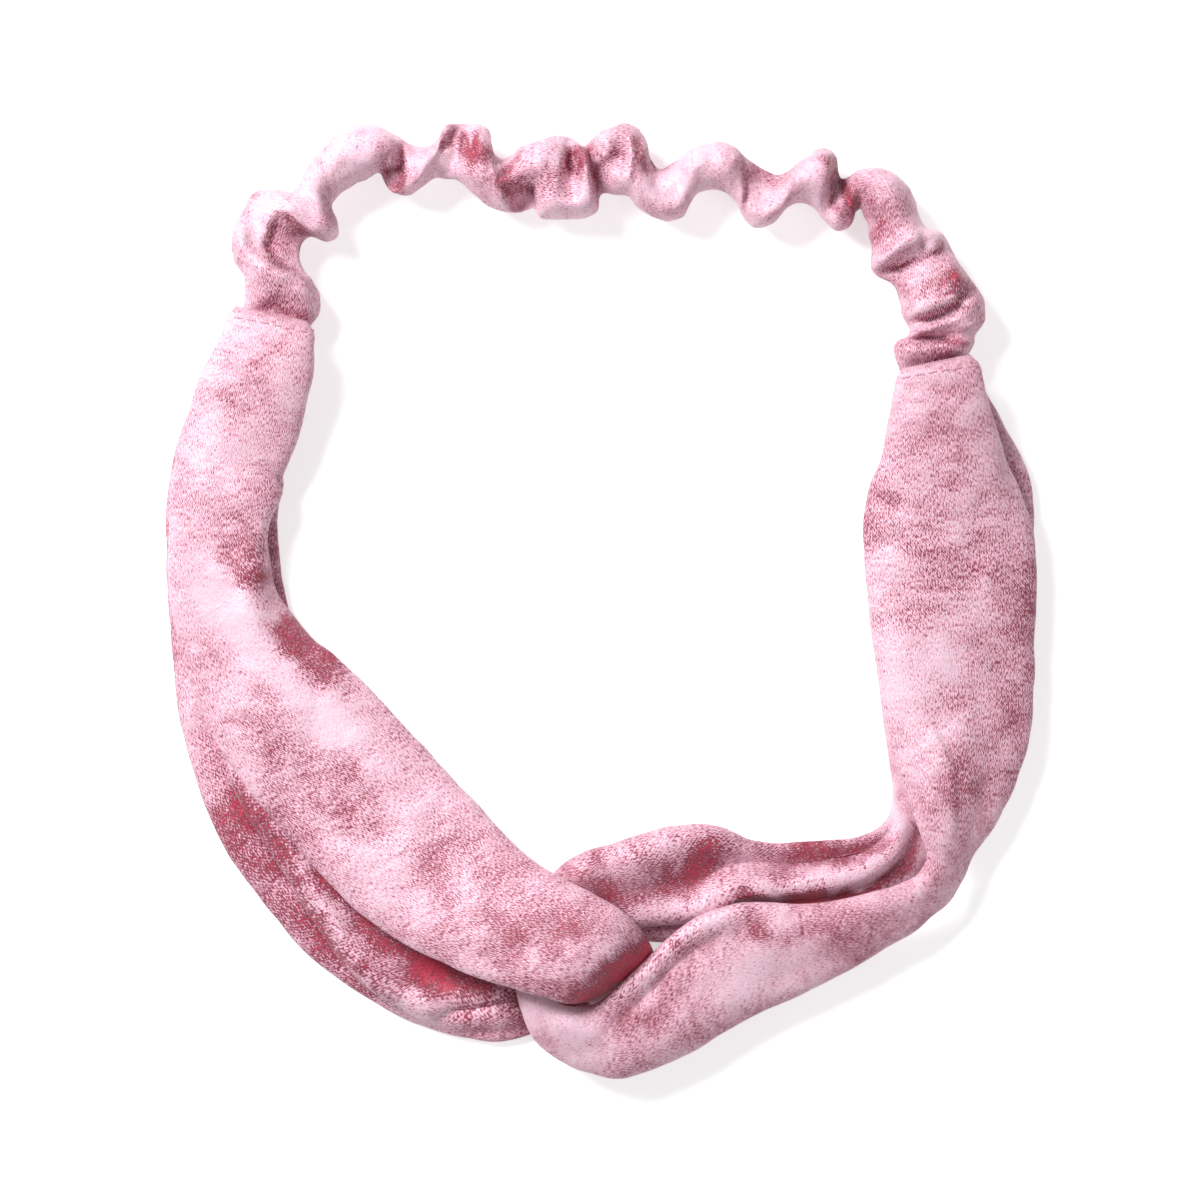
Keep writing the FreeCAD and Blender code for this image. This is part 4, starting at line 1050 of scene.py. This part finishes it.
# %% Casing lengths
CUT_LEFT, CUT_RIGHT = (-51.6, 80.2), (51.4, 77.4)
CUT_CROWN = (0.0, 82.0)


def nearest_ring(rings, plan):
    """The number of the ring whose centre lies nearest to a point in plan."""
    centres = rings.mean(axis=1)[:, :2]
    return int(np.argmin(np.linalg.norm(centres - np.array(plan), axis=1)))


cuts = [0, nearest_ring(casing_rings, CUT_LEFT), nearest_ring(casing_rings, CUT_CROWN),
        nearest_ring(casing_rings, CUT_RIGHT), len(casing_rings) - 1]
LENGTHS = ("left_end", "left_half", "right_half", "right_end")
CASING_GIRTH = 50.0
casing = {}
for length, first, last in zip(LENGTHS, cuts, cuts[1:]):
    casing[length] = tube_piece(f"casing_satin_{length}", casing_rings, casing_distance,
                                first, last, CASING_GIRTH, CASING_SPOTS)
    print(f"casing {length}: {casing_distance[last] - casing_distance[first]:.0f} mm")

# %% [markdown]
# ## A calmer line for the elastic
#
# The middles of the casing's rings jump about with every crumple.  The elastic inside is pulled
# tight and only follows the tube's broad sway, so each middle is averaged with its neighbours.

# %% Calm line
ELASTIC_CALM = 7


def calm(values, reach):
    """Each value averaged with its neighbours."""
    padded = np.pad(values, ((reach, reach), (0, 0)), mode="edge")
    weights = np.hanning(2 * reach + 3)[1:-1]
    weights /= weights.sum()
    return np.column_stack([np.convolve(padded[:, axis], weights, "valid") for axis in range(3)])


middles = casing_rings.mean(axis=1)
middle_line = calm(middles, ELASTIC_CALM)
print(f"through the rings {travelled(middles)[-1]:.0f} mm, calmed {travelled(middle_line)[-1]:.0f} mm")

# %% [markdown]
# ## The elastic inside
#
# A flat woven band runs through the casing and is tacked between the strips' ends.  Between
# them it lies a little below the casing's middle, so that no hollow in the casing's back lays
# it bare.

# %% Elastic
ELASTIC_WIDTH, ELASTIC_THICKNESS = 5.0, 1.2
ELASTIC_LEVEL = 4.9
ELASTIC_CORNER = 0.35
SINK_AFTER, SINK_OVER = 10.0, 14.0
ELASTIC_INSET = 9


def elastic_rings():
    """Eight-sided sections of the band along the calmed middle line of the casing."""
    line = middle_line.copy()
    from_end = np.minimum(casing_distance, casing_distance[-1] - casing_distance)
    sunk = np.clip((from_end - SINK_AFTER) / SINK_OVER, 0, 1)
    line[:, 2] = CASING_AXIS - (CASING_AXIS - ELASTIC_LEVEL) * sunk ** 2 * (3 - 2 * sunk)
    forward = np.gradient(line, axis=0)
    forward[:, 2] = 0
    forward /= np.linalg.norm(forward, axis=1, keepdims=True)
    across = np.cross(forward, (0, 0, 1))
    corner = ELASTIC_CORNER
    half, high = ELASTIC_WIDTH / 2, ELASTIC_THICKNESS / 2
    outline = [(half - corner, -high), (half, -high + corner), (half, high - corner),
               (half - corner, high), (corner - half, high), (-half, high - corner),
               (-half, corner - high), (corner - half, -high)]
    rings = [[point + side * wide + np.array((0, 0, tall)) for wide, tall in outline]
             for point, side in zip(line, across)]
    return np.array(rings)


band_rings = elastic_rings()
elastic = {}
for length, first, last in zip(LENGTHS, cuts, cuts[1:]):
    start = first + ELASTIC_INSET if length == "left_end" else first
    stop = last - ELASTIC_INSET if length == "right_end" else last
    elastic[length] = tube_piece(f"elastic_band_{length}", band_rings, casing_distance,
                                 start, stop, 2 * (ELASTIC_WIDTH + ELASTIC_THICKNESS), [])
print(f"elastic {ELASTIC_WIDTH} mm wide in {len(elastic)} lengths")

# %% [markdown]
# ## Join stitching
#
# A row of hand stitches crosses each strip just below the join, on its upper leg and again on
# its lower leg, and holds the casing and the elastic in place.  Each stitch follows the cloth's
# own face, or it would hang in the air over a dent.

# %% Stitch paths
STITCH_LENGTH, STITCH_PITCH = 1.8, 2.5
STITCHES = 6
THREAD_WIDTHS = np.array((0.45, 0.9, 1, 1, 0.9, 0.45))


def face_line(ring, upper):
    """The points of a strip's ring that lie on one face, edge to edge."""
    half = AROUND // 2
    return ring[2:half - 1] if upper else ring[half + 2:-1][::-1]


def stitch_row(ring, upper):
    """Short curved paths along one face of a strip."""
    line = face_line(ring, upper)
    walked = travelled(line)
    paths = []
    for number in range(STITCHES):
        middle = walked[-1] / 2 + (number - (STITCHES - 1) / 2) * STITCH_PITCH
        at = middle + np.linspace(-0.5, 0.5, len(THREAD_WIDTHS)) * STITCH_LENGTH
        paths.append(np.column_stack([np.interp(at, walked, line[:, axis]) for axis in range(3)]))
    return paths


tried = stitch_row(left_rings[len(left_rings) // 2], True)
print(f"{len(tried)} stitches in a row, {travelled(tried[0])[-1]:.1f} mm each")

# %% [markdown]
# ## Thread
#
# The thread matches the cloth, so it shows only as small bumps.  It is a thin round tube that
# narrows where it dives into the cloth at each end.

# %% Thread
THREAD_RADIUS, THREAD_SIDES, THREAD_STEP = 0.17, 8, 0.3
STITCH_IN = 2.6


def thread_object(name, paths):
    """Thin tubes along the paths, tapered at their ends where the thread dives in."""
    points, faces, lengthwise, share = [], [], [], []
    turns = np.arange(THREAD_SIDES) / THREAD_SIDES
    for path in paths:
        forward = (path[-1] - path[0]) / np.linalg.norm(path[-1] - path[0])
        side = np.cross(forward, (0, 0, 1))
        side /= np.linalg.norm(side)
        up = np.cross(side, forward)
        base = len(points)
        for place, (centre, width) in enumerate(zip(path, THREAD_RADIUS * THREAD_WIDTHS)):
            for turn in turns * 2 * math.pi:
                points.append(centre + width * (side * math.cos(turn) + up * math.sin(turn)))
                lengthwise.append(place * THREAD_STEP)
                share.append(turn / (2 * math.pi))
        faces += [tuple(base + corner for corner in face)
                  for face in ring_faces(len(path), THREAD_SIDES)]
        faces.append(tuple(base + step for step in reversed(range(THREAD_SIDES))))
        last_ring = base + (len(path) - 1) * THREAD_SIDES
        faces.append(tuple(last_ring + step for step in range(THREAD_SIDES)))
    points = np.array(points)
    return skin_object(name, points, faces, np.array(lengthwise), np.array(share), 1.0,
                       np.zeros(len(points)))


def join_stitches(name, rings, lower_face):
    """Stitches on top of the first leg, and on the last leg: on its top when lower_face is true, else
    underneath.
    """
    inset = round(STITCH_IN / STRIP_SPACING)
    return thread_object(name, stitch_row(rings[inset], True)
                         + stitch_row(rings[-1 - inset], lower_face))


left_stitches = join_stitches("left_join_thread", left_rings, True)
right_stitches = join_stitches("right_join_thread", right_rings, False)
print(f"{4 * STITCHES} stitches, the thread {2 * THREAD_RADIUS:.2f} mm thick")

# %% [markdown]
# ## Helpers for materials
#
# Every material here is a small tree of nodes.  Four helpers keep the trees readable: one adds
# a socket to a group, one adds a node with its settings, one adds a calculation, and one
# starts a material.

# %% Node helpers
def socket(group, name, kind, way, value=None):
    """A new input or output of a node group."""
    made = group.interface.new_socket(name=name, in_out=way, socket_type=kind)
    if value is not None:
        made.default_value = value
    return made


def add_node(tree, kind, values=None, **settings):
    """A node with its settings and the values of its unlinked sockets."""
    made = tree.nodes.new(kind)
    for key, value in settings.items():
        setattr(made, key, value)
    for key, value in (values or {}).items():
        made.inputs[key].default_value = value
    return made


def math_node(tree, operation, *values):
    """The result of one calculation with plain numbers and other nodes' outputs."""
    made = tree.nodes.new("ShaderNodeMath")
    made.operation = operation
    for slot_index, value in enumerate(values):
        if isinstance(value, (int, float)):
            made.inputs[slot_index].default_value = value
        else:
            tree.links.new(value, made.inputs[slot_index])
    return made.outputs[0]


def principled(name, **values):
    """A new material and its shader, with plain values set by socket name."""
    material = bpy.data.materials.new(name)
    material.use_nodes = True
    shader = material.node_tree.nodes["Principled BSDF"]
    for key, value in values.items():
        shader.inputs[key.replace("_", " ")].default_value = value
    return material, material.node_tree, shader


print("helpers ready:", socket.__name__, add_node.__name__, math_node.__name__, principled.__name__)

# %% [markdown]
# ## Glints and twill
#
# A yarn that floats on the face shines as a dash, longer than it is wide.  Noise stretched
# along the cloth makes the dashes, because a drawn pattern would show where it repeats.  A
# faint wave on a slant adds the rows of the twill.  The dashes are painted glints in the colour,
# and they also vary the gloss and bend the surface.

# %% Glint group
PER_METRE = 1000.0
TWILL_SLANT, TWILL_SHARE = 0.8, 0.055


def glint_group():
    """Short glints along the cloth, and fine twill rows on a slant.  Place is the map in metres."""
    group = bpy.data.node_groups.new("satin_glints", "ShaderNodeTree")
    socket(group, "Place", "NodeSocketVector", "INPUT")
    socket(group, "Length mm", "NodeSocketFloat", "INPUT", 1.0)
    socket(group, "Width mm", "NodeSocketFloat", "INPUT", 0.3)
    socket(group, "Row mm", "NodeSocketFloat", "INPUT", 0.55)
    socket(group, "Glint", "NodeSocketFloat", "OUTPUT")
    inside, out = group.nodes.new("NodeGroupInput"), group.nodes.new("NodeGroupOutput")
    links = group.links
    parts = add_node(group, "ShaderNodeSeparateXYZ")
    links.new(inside.outputs["Place"], parts.inputs[0])
    along_mm = math_node(group, "MULTIPLY", parts.outputs[0], PER_METRE)
    across_mm = math_node(group, "MULTIPLY", parts.outputs[1], PER_METRE)
    joined = add_node(group, "ShaderNodeCombineXYZ")
    links.new(math_node(group, "DIVIDE", along_mm, inside.outputs["Length mm"]), joined.inputs[0])
    links.new(math_node(group, "DIVIDE", across_mm, inside.outputs["Width mm"]), joined.inputs[1])
    grain = add_node(group, "ShaderNodeTexNoise", {"Scale": 1.0, "Detail": 1.0, "Roughness": 0.6,
                                                   "Distortion": 0.0})
    links.new(joined.outputs[0], grain.inputs["Vector"])
    slanted = math_node(group, "MULTIPLY_ADD", along_mm, -TWILL_SLANT, across_mm)
    turns = math_node(group, "MULTIPLY", 2 * math.pi,
                      math_node(group, "DIVIDE", slanted, inside.outputs["Row mm"]))
    rows = math_node(group, "SINE", turns)
    links.new(math_node(group, "MULTIPLY_ADD", rows, TWILL_SHARE, grain.outputs["Fac"]),
              out.inputs["Glint"])
    return group


GLINTS = glint_group()
print("node group:", GLINTS.name)

# %% [markdown]
# ## Crinkles
#
# The press leaves broad dents, which noise in the object's own space gives without a seam, and
# streaks that run across the cloth, which need the map.  The dents also raise the surface.  In
# the colour their tone lays pale and deep patches, partly painted sheen and shade.

# %% Crinkle group
STREAKS_PER_METRE = (420.0, 170.0, 0.0)
STREAK_SHARE = 0.5


def crinkle_group():
    """Broad crinkles in the object's own space, and streaks that run across the cloth."""
    group = bpy.data.node_groups.new("crinkles", "ShaderNodeTree")
    socket(group, "Place", "NodeSocketVector", "INPUT")
    socket(group, "Cloth", "NodeSocketVector", "INPUT")
    socket(group, "Size mm", "NodeSocketFloat", "INPUT", 9.0)
    socket(group, "Height", "NodeSocketFloat", "OUTPUT")
    socket(group, "Tone", "NodeSocketFloat", "OUTPUT")
    inside, out = group.nodes.new("NodeGroupInput"), group.nodes.new("NodeGroupOutput")
    scale = math_node(group, "DIVIDE", PER_METRE, inside.outputs["Size mm"])
    broad = add_node(group, "ShaderNodeTexNoise", {"Detail": 5.0, "Roughness": 0.6,
                                                   "Distortion": 0.3})
    group.links.new(inside.outputs["Place"], broad.inputs["Vector"])
    group.links.new(scale, broad.inputs["Scale"])
    group.links.new(broad.outputs["Fac"], out.inputs["Height"])
    stretched = add_node(group, "ShaderNodeVectorMath", operation="MULTIPLY")
    stretched.inputs[1].default_value = STREAKS_PER_METRE
    group.links.new(inside.outputs["Cloth"], stretched.inputs[0])
    streaks = add_node(group, "ShaderNodeTexNoise", {"Scale": 1.0, "Detail": 3.0, "Roughness": 0.65,
                                                     "Distortion": 0.7})
    group.links.new(stretched.outputs[0], streaks.inputs["Vector"])
    lowered = math_node(group, "SUBTRACT", broad.outputs["Fac"], STREAK_SHARE / 2)
    group.links.new(math_node(group, "MULTIPLY_ADD", streaks.outputs["Fac"], STREAK_SHARE, lowered),
                    out.inputs["Tone"])
    return group


CRINKLES = crinkle_group()
print("node group:", CRINKLES.name)

# %% [markdown]
# ## Crinkled satin
#
# Satin floats its yarns over each other, so the face is a mass of short lengthwise glints.  Its
# look comes mostly from light: it shines pale where it leans towards a lamp, glows deep red in a
# tight turn where light bounces off itself, and in between the glints stand out one by one.  Here
# that light and shade are painted into the colour.  One number for each point of the cloth says
# how lit it is painted: the spots of painted highlight and shade, the crinkle noise and the
# glints, added up by their weights.  A colour ramp turns it into the crimson of painted bounced
# light in a tight turn, then the maroon of painted shade, the satin's own dusty rose and the near
# white of painted sheen, so the glints fade by themselves at both ends of the ramp.

# %% Satin colours
GLINT_SIZE = {"Length mm": 0.7, "Width mm": 0.26, "Row mm": 0.55}
CRINKLE_SIZE = {"Size mm": 11.0}
CRINKLE_BUMP, GLINT_BUMP = 0.9 * MM, 0.11 * MM
ROUGHNESS = {"To Min": 0.42, "To Max": 0.56}
# ramp from painted bounced light (crimson) and painted shade (maroon) through the satin's own dusty
# rose to painted sheen (near white)
PAINTED_SHADE_TO_SHEEN = [
    (0.00, (0.58, 0.055, 0.100)), (0.08, (0.26, 0.034, 0.056)), (0.19, (0.20, 0.043, 0.064)),
    (0.33, (0.36, 0.115, 0.163)), (0.46, (0.60, 0.262, 0.347)), (0.60, (0.79, 0.430, 0.535)),
    (0.85, (0.83, 0.590, 0.690)),
]
PAINTED_SPOT_WEIGHT, CRINKLE_WEIGHT, GLINT_WEIGHT = 0.19, 1.05, 1.65
CLOTH_LEVEL = 0.59
# the count of colours from painted shade to painted sheen
print(f"{len(PAINTED_SHADE_TO_SHEEN)} colours from crushed to pressed")

# %% [markdown]
# ## The satin itself
#
# Glints and crinkles share one number with the spots of painted highlight and shade, so no edge
# between two colours is ever cleaner than the cloth.  The crinkles also bend the surface softly
# and the glints finely, as creases and yarns do.

# %% Satin
def satin_material():
    """The strips' and the casing's cloth."""
    material, tree, shader = principled(
        "dusty_pink_satin", Metallic=0.1, Specular_IOR_Level=0.35, Sheen_Weight=0.22,
        Sheen_Roughness=0.35, Sheen_Tint=(1.0, 0.80, 0.87, 1))
    links = tree.links
    cloth = add_node(tree, "ShaderNodeUVMap", uv_map=MAP_NAME)
    space = add_node(tree, "ShaderNodeTexCoord")
    spots = add_node(tree, "ShaderNodeAttribute", attribute_name=PAINTED_LIGHT_NAME)
    glints = add_node(tree, "ShaderNodeGroup", GLINT_SIZE, node_tree=GLINTS)
    links.new(cloth.outputs["UV"], glints.inputs["Place"])
    crinkles = add_node(tree, "ShaderNodeGroup", CRINKLE_SIZE, node_tree=CRINKLES)
    links.new(space.outputs["Object"], crinkles.inputs["Place"])
    links.new(cloth.outputs["UV"], crinkles.inputs["Cloth"])
    centre = CLOTH_LEVEL - 0.5 * (CRINKLE_WEIGHT + GLINT_WEIGHT)
    # painted highlight and shade from the spots
    level = math_node(tree, "MULTIPLY_ADD", spots.outputs["Fac"], PAINTED_SPOT_WEIGHT, centre)
    # crinkle noise lays pale and deep patches, partly painted sheen and shade
    level = math_node(tree, "MULTIPLY_ADD", crinkles.outputs["Tone"], CRINKLE_WEIGHT, level)
    # glints painted into the colour as pale and dark dashes
    level = math_node(tree, "MULTIPLY_ADD", glints.outputs["Glint"], GLINT_WEIGHT, level)
    ramp = add_node(tree, "ShaderNodeValToRGB")
    stops = ramp.color_ramp.elements
    for place, _ in PAINTED_SHADE_TO_SHEEN[1:-1]:
        stops.new(place)
    for stop, (place, colour) in zip(stops, PAINTED_SHADE_TO_SHEEN):
        stop.position = place
        stop.color = (*colour, 1)
    links.new(level, ramp.inputs["Fac"])
    links.new(ramp.outputs["Color"], shader.inputs["Base Color"])
    gloss = add_node(tree, "ShaderNodeMapRange", ROUGHNESS)
    links.new(glints.outputs["Glint"], gloss.inputs["Value"])
    links.new(gloss.outputs["Result"], shader.inputs["Roughness"])
    soft = add_node(tree, "ShaderNodeBump", {"Strength": 1.0, "Distance": CRINKLE_BUMP})
    links.new(crinkles.outputs["Height"], soft.inputs["Height"])
    fine = add_node(tree, "ShaderNodeBump", {"Strength": 1.0, "Distance": GLINT_BUMP})
    links.new(glints.outputs["Glint"], fine.inputs["Height"])
    links.new(soft.outputs["Normal"], fine.inputs["Normal"])
    links.new(fine.outputs["Normal"], shader.inputs["Normal"])
    return material


satin = satin_material()
print(f"{satin.name}: {len(satin.node_tree.nodes)} nodes")

# %% [markdown]
# ## Thread and elastic
#
# Both are fine even ribs: the twist of a sewing thread runs across it, and the ribs of a woven
# elastic run along it.

# %% Thread and elastic
def striped_material(name, stripe_mm, axis, light, dark, roughness):
    """Fine even ribs, along or across the map, for twisted thread and woven elastic."""
    material, tree, shader = principled(name, Roughness=roughness)
    cloth = add_node(tree, "ShaderNodeUVMap", uv_map=MAP_NAME)
    parts = add_node(tree, "ShaderNodeSeparateXYZ")
    tree.links.new(cloth.outputs["UV"], parts.inputs[0])
    turns = math_node(tree, "MULTIPLY", parts.outputs[axis], 2 * math.pi / (stripe_mm * MM))
    rib = math_node(tree, "MULTIPLY_ADD", math_node(tree, "SINE", turns), 0.5, 0.5)
    ramp = add_node(tree, "ShaderNodeValToRGB")
    ramp.color_ramp.elements[0].color = (*dark, 1)
    ramp.color_ramp.elements[1].color = (*light, 1)
    tree.links.new(rib, ramp.inputs["Fac"])
    tree.links.new(ramp.outputs["Color"], shader.inputs["Base Color"])
    bump = add_node(tree, "ShaderNodeBump", {"Strength": 1.0, "Distance": stripe_mm * MM / 6})
    tree.links.new(rib, bump.inputs["Height"])
    tree.links.new(bump.outputs["Normal"], shader.inputs["Normal"])
    return material


ALONG, ROUND = 0, 1
thread = striped_material("pink_thread", stripe_mm=0.4, axis=ALONG, light=(0.74, 0.42, 0.50),
                          dark=(0.52, 0.24, 0.30), roughness=0.6)
woven = striped_material("woven_elastic", stripe_mm=0.8, axis=ROUND, light=(0.80, 0.78, 0.76),
                         dark=(0.62, 0.60, 0.58), roughness=0.8)
print("materials:", satin.name, thread.name, woven.name)

# %% [markdown]
# ## Table
#
# The table is plain white and keeps a soft shadow.  A little glow, which only the camera and
# mirrored or clear surfaces see, lifts it to paper white without lighting the cloth from below.

# %% Table
TABLE_WIDTH = 6
TABLE_WHITE = (0.9, 0.9, 0.9, 1)
TABLE_GLOW = 0.55


def table():
    """A wide white plane under the headband."""
    bpy.ops.mesh.primitive_plane_add(size=TABLE_WIDTH, location=(0, 0, 0))
    made = bpy.context.object
    made.name = "table_top"
    material, tree, shader = principled("white_table", Base_Color=TABLE_WHITE, Roughness=0.9)
    path = add_node(tree, "ShaderNodeLightPath")
    seen = path.outputs["Is Camera Ray"]
    for name in ("Is Glossy Ray", "Is Transmission Ray"):
        seen = math_node(tree, "MAXIMUM", seen, path.outputs[name])
    glow = add_node(tree, "ShaderNodeEmission")
    tree.links.new(math_node(tree, "MULTIPLY", seen, TABLE_GLOW), glow.inputs["Strength"])
    both = add_node(tree, "ShaderNodeAddShader")
    tree.links.new(shader.outputs[0], both.inputs[0])
    tree.links.new(glow.outputs[0], both.inputs[1])
    tree.links.new(both.outputs[0], tree.nodes["Material Output"].inputs["Surface"])
    made.data.materials.append(material)
    return made


floor = table()
print(f"table {floor.dimensions.x:.0f} m wide")

# %% [markdown]
# ## Lamps
#
# One large soft lamp stands to the upper left and a weak one to the lower right.  Satin shines
# where it leans half way towards a lamp, so a lamp well to the side makes the left shoulders of
# the folds pale and the right ones deep.  The room adds little, and so the hollows stay dark.

# %% Lamps
ROOM_LIGHT = 0.22


def soft_box(name, place, width, power, aim=(0, 0, 0)):
    """A square lamp that faces the headband."""
    data = bpy.data.lights.new(name, "AREA")
    data.shape = "SQUARE"
    data.size = width
    data.energy = power
    lamp = bpy.data.objects.new(name, data)
    lamp.location = place
    direction = Vector(aim) - Vector(place)
    lamp.rotation_euler = direction.to_track_quat("-Z", "Y").to_euler()
    bpy.context.scene.collection.objects.link(lamp)
    return lamp


key = soft_box("key", place=(-0.50, 0.45, 0.70), width=0.35, power=12.8)
fill = soft_box("fill", place=(0.6, -0.5, 0.7), width=0.5, power=2.0)
world = bpy.data.worlds.new("room")
bpy.context.scene.world = world
world.use_nodes = True
room = world.node_tree.nodes["Background"].inputs
room["Color"].default_value = (1, 1, 1, 1)
room["Strength"].default_value = ROOM_LIGHT
print(f"key {key.data.energy:.1f} W, fill {fill.data.energy:.1f} W, room {ROOM_LIGHT}")

# %% [markdown]
# ## What moves with what
#
# Each set of join stitches rides on its loop.  The strips and the lengths of casing and elastic
# have their placing baked into their points, and the frame's own strips, casing, elastic and
# join stitching are hidden in their place.

# %% Bodies
def plan(x, y):
    """A point in plan, at the height of the casing's middle, in metres."""
    return (x * MM, y * MM, CASING_AXIS * MM)


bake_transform(left_strip)
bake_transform(right_strip)
for tube in (casing, elastic):
    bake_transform(tube["left_half"])
    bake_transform(tube["right_half"])
    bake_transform(tube["left_end"])
    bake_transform(tube["right_end"])
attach(left_stitches, "left_loop")
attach(right_stitches, "right_loop")

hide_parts("left_strip")
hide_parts("right_strip")
for tube, node in ((casing, "casing"), (elastic, "elastic")):
    for side in ("left", "right"):
        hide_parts(f"{node}_crown", f"{node}_{side}")
        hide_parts(f"{node}_{side}_end")
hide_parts("left_join_stitching")
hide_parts("right_join_stitching")
print(f"blended: 2 strips and {len(casing) + len(elastic)} lengths of tube; riding: 2 sets of stitches")

# %% [markdown]
# ## Which cloth goes where
#
# The strips and the casing are cut from one satin, and the thread is dyed to match it.  The
# tacks that hold the elastic keep the shape they have in the frame.

# %% Finishes
for piece in (left_strip, right_strip, *casing.values()):
    piece.data.materials.append(satin)
for piece in elastic.values():
    piece.data.materials.append(woven)
for piece in (left_stitches, right_stitches):
    piece.data.materials.append(thread)
for name in ("left_elastic_tack", "right_elastic_tack"):
    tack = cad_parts[name]
    tack.data.materials.clear()
    tack.data.materials.append(thread)
print("satin on 6 pieces, woven elastic on 4, thread on 4")

# %% [markdown]
# ## Cloth sizes
#
# Every satin piece is a sewn tube, so its flat size is that of the tube pressed flat: half the
# width of the cloth it was cut from.  The strips taper from 34 to 17 mm over the last 60 mm
# before each end.  The gathered lengths are longer flat than they lie.

# %% Sheets
def skin_area(piece):
    """The area of both plies together."""
    return sum(polygon.area for polygon in piece.data.polygons)


for piece in (left_strip, right_strip, *casing.values()):
    print(piece.name, f"both plies {skin_area(piece) / MM ** 2:.0f} mm2")

# %% [markdown]
# ## Last settings
#
# Standard colour keeps white white.

# %% Close
bpy.context.scene.view_settings.view_transform = "Standard"
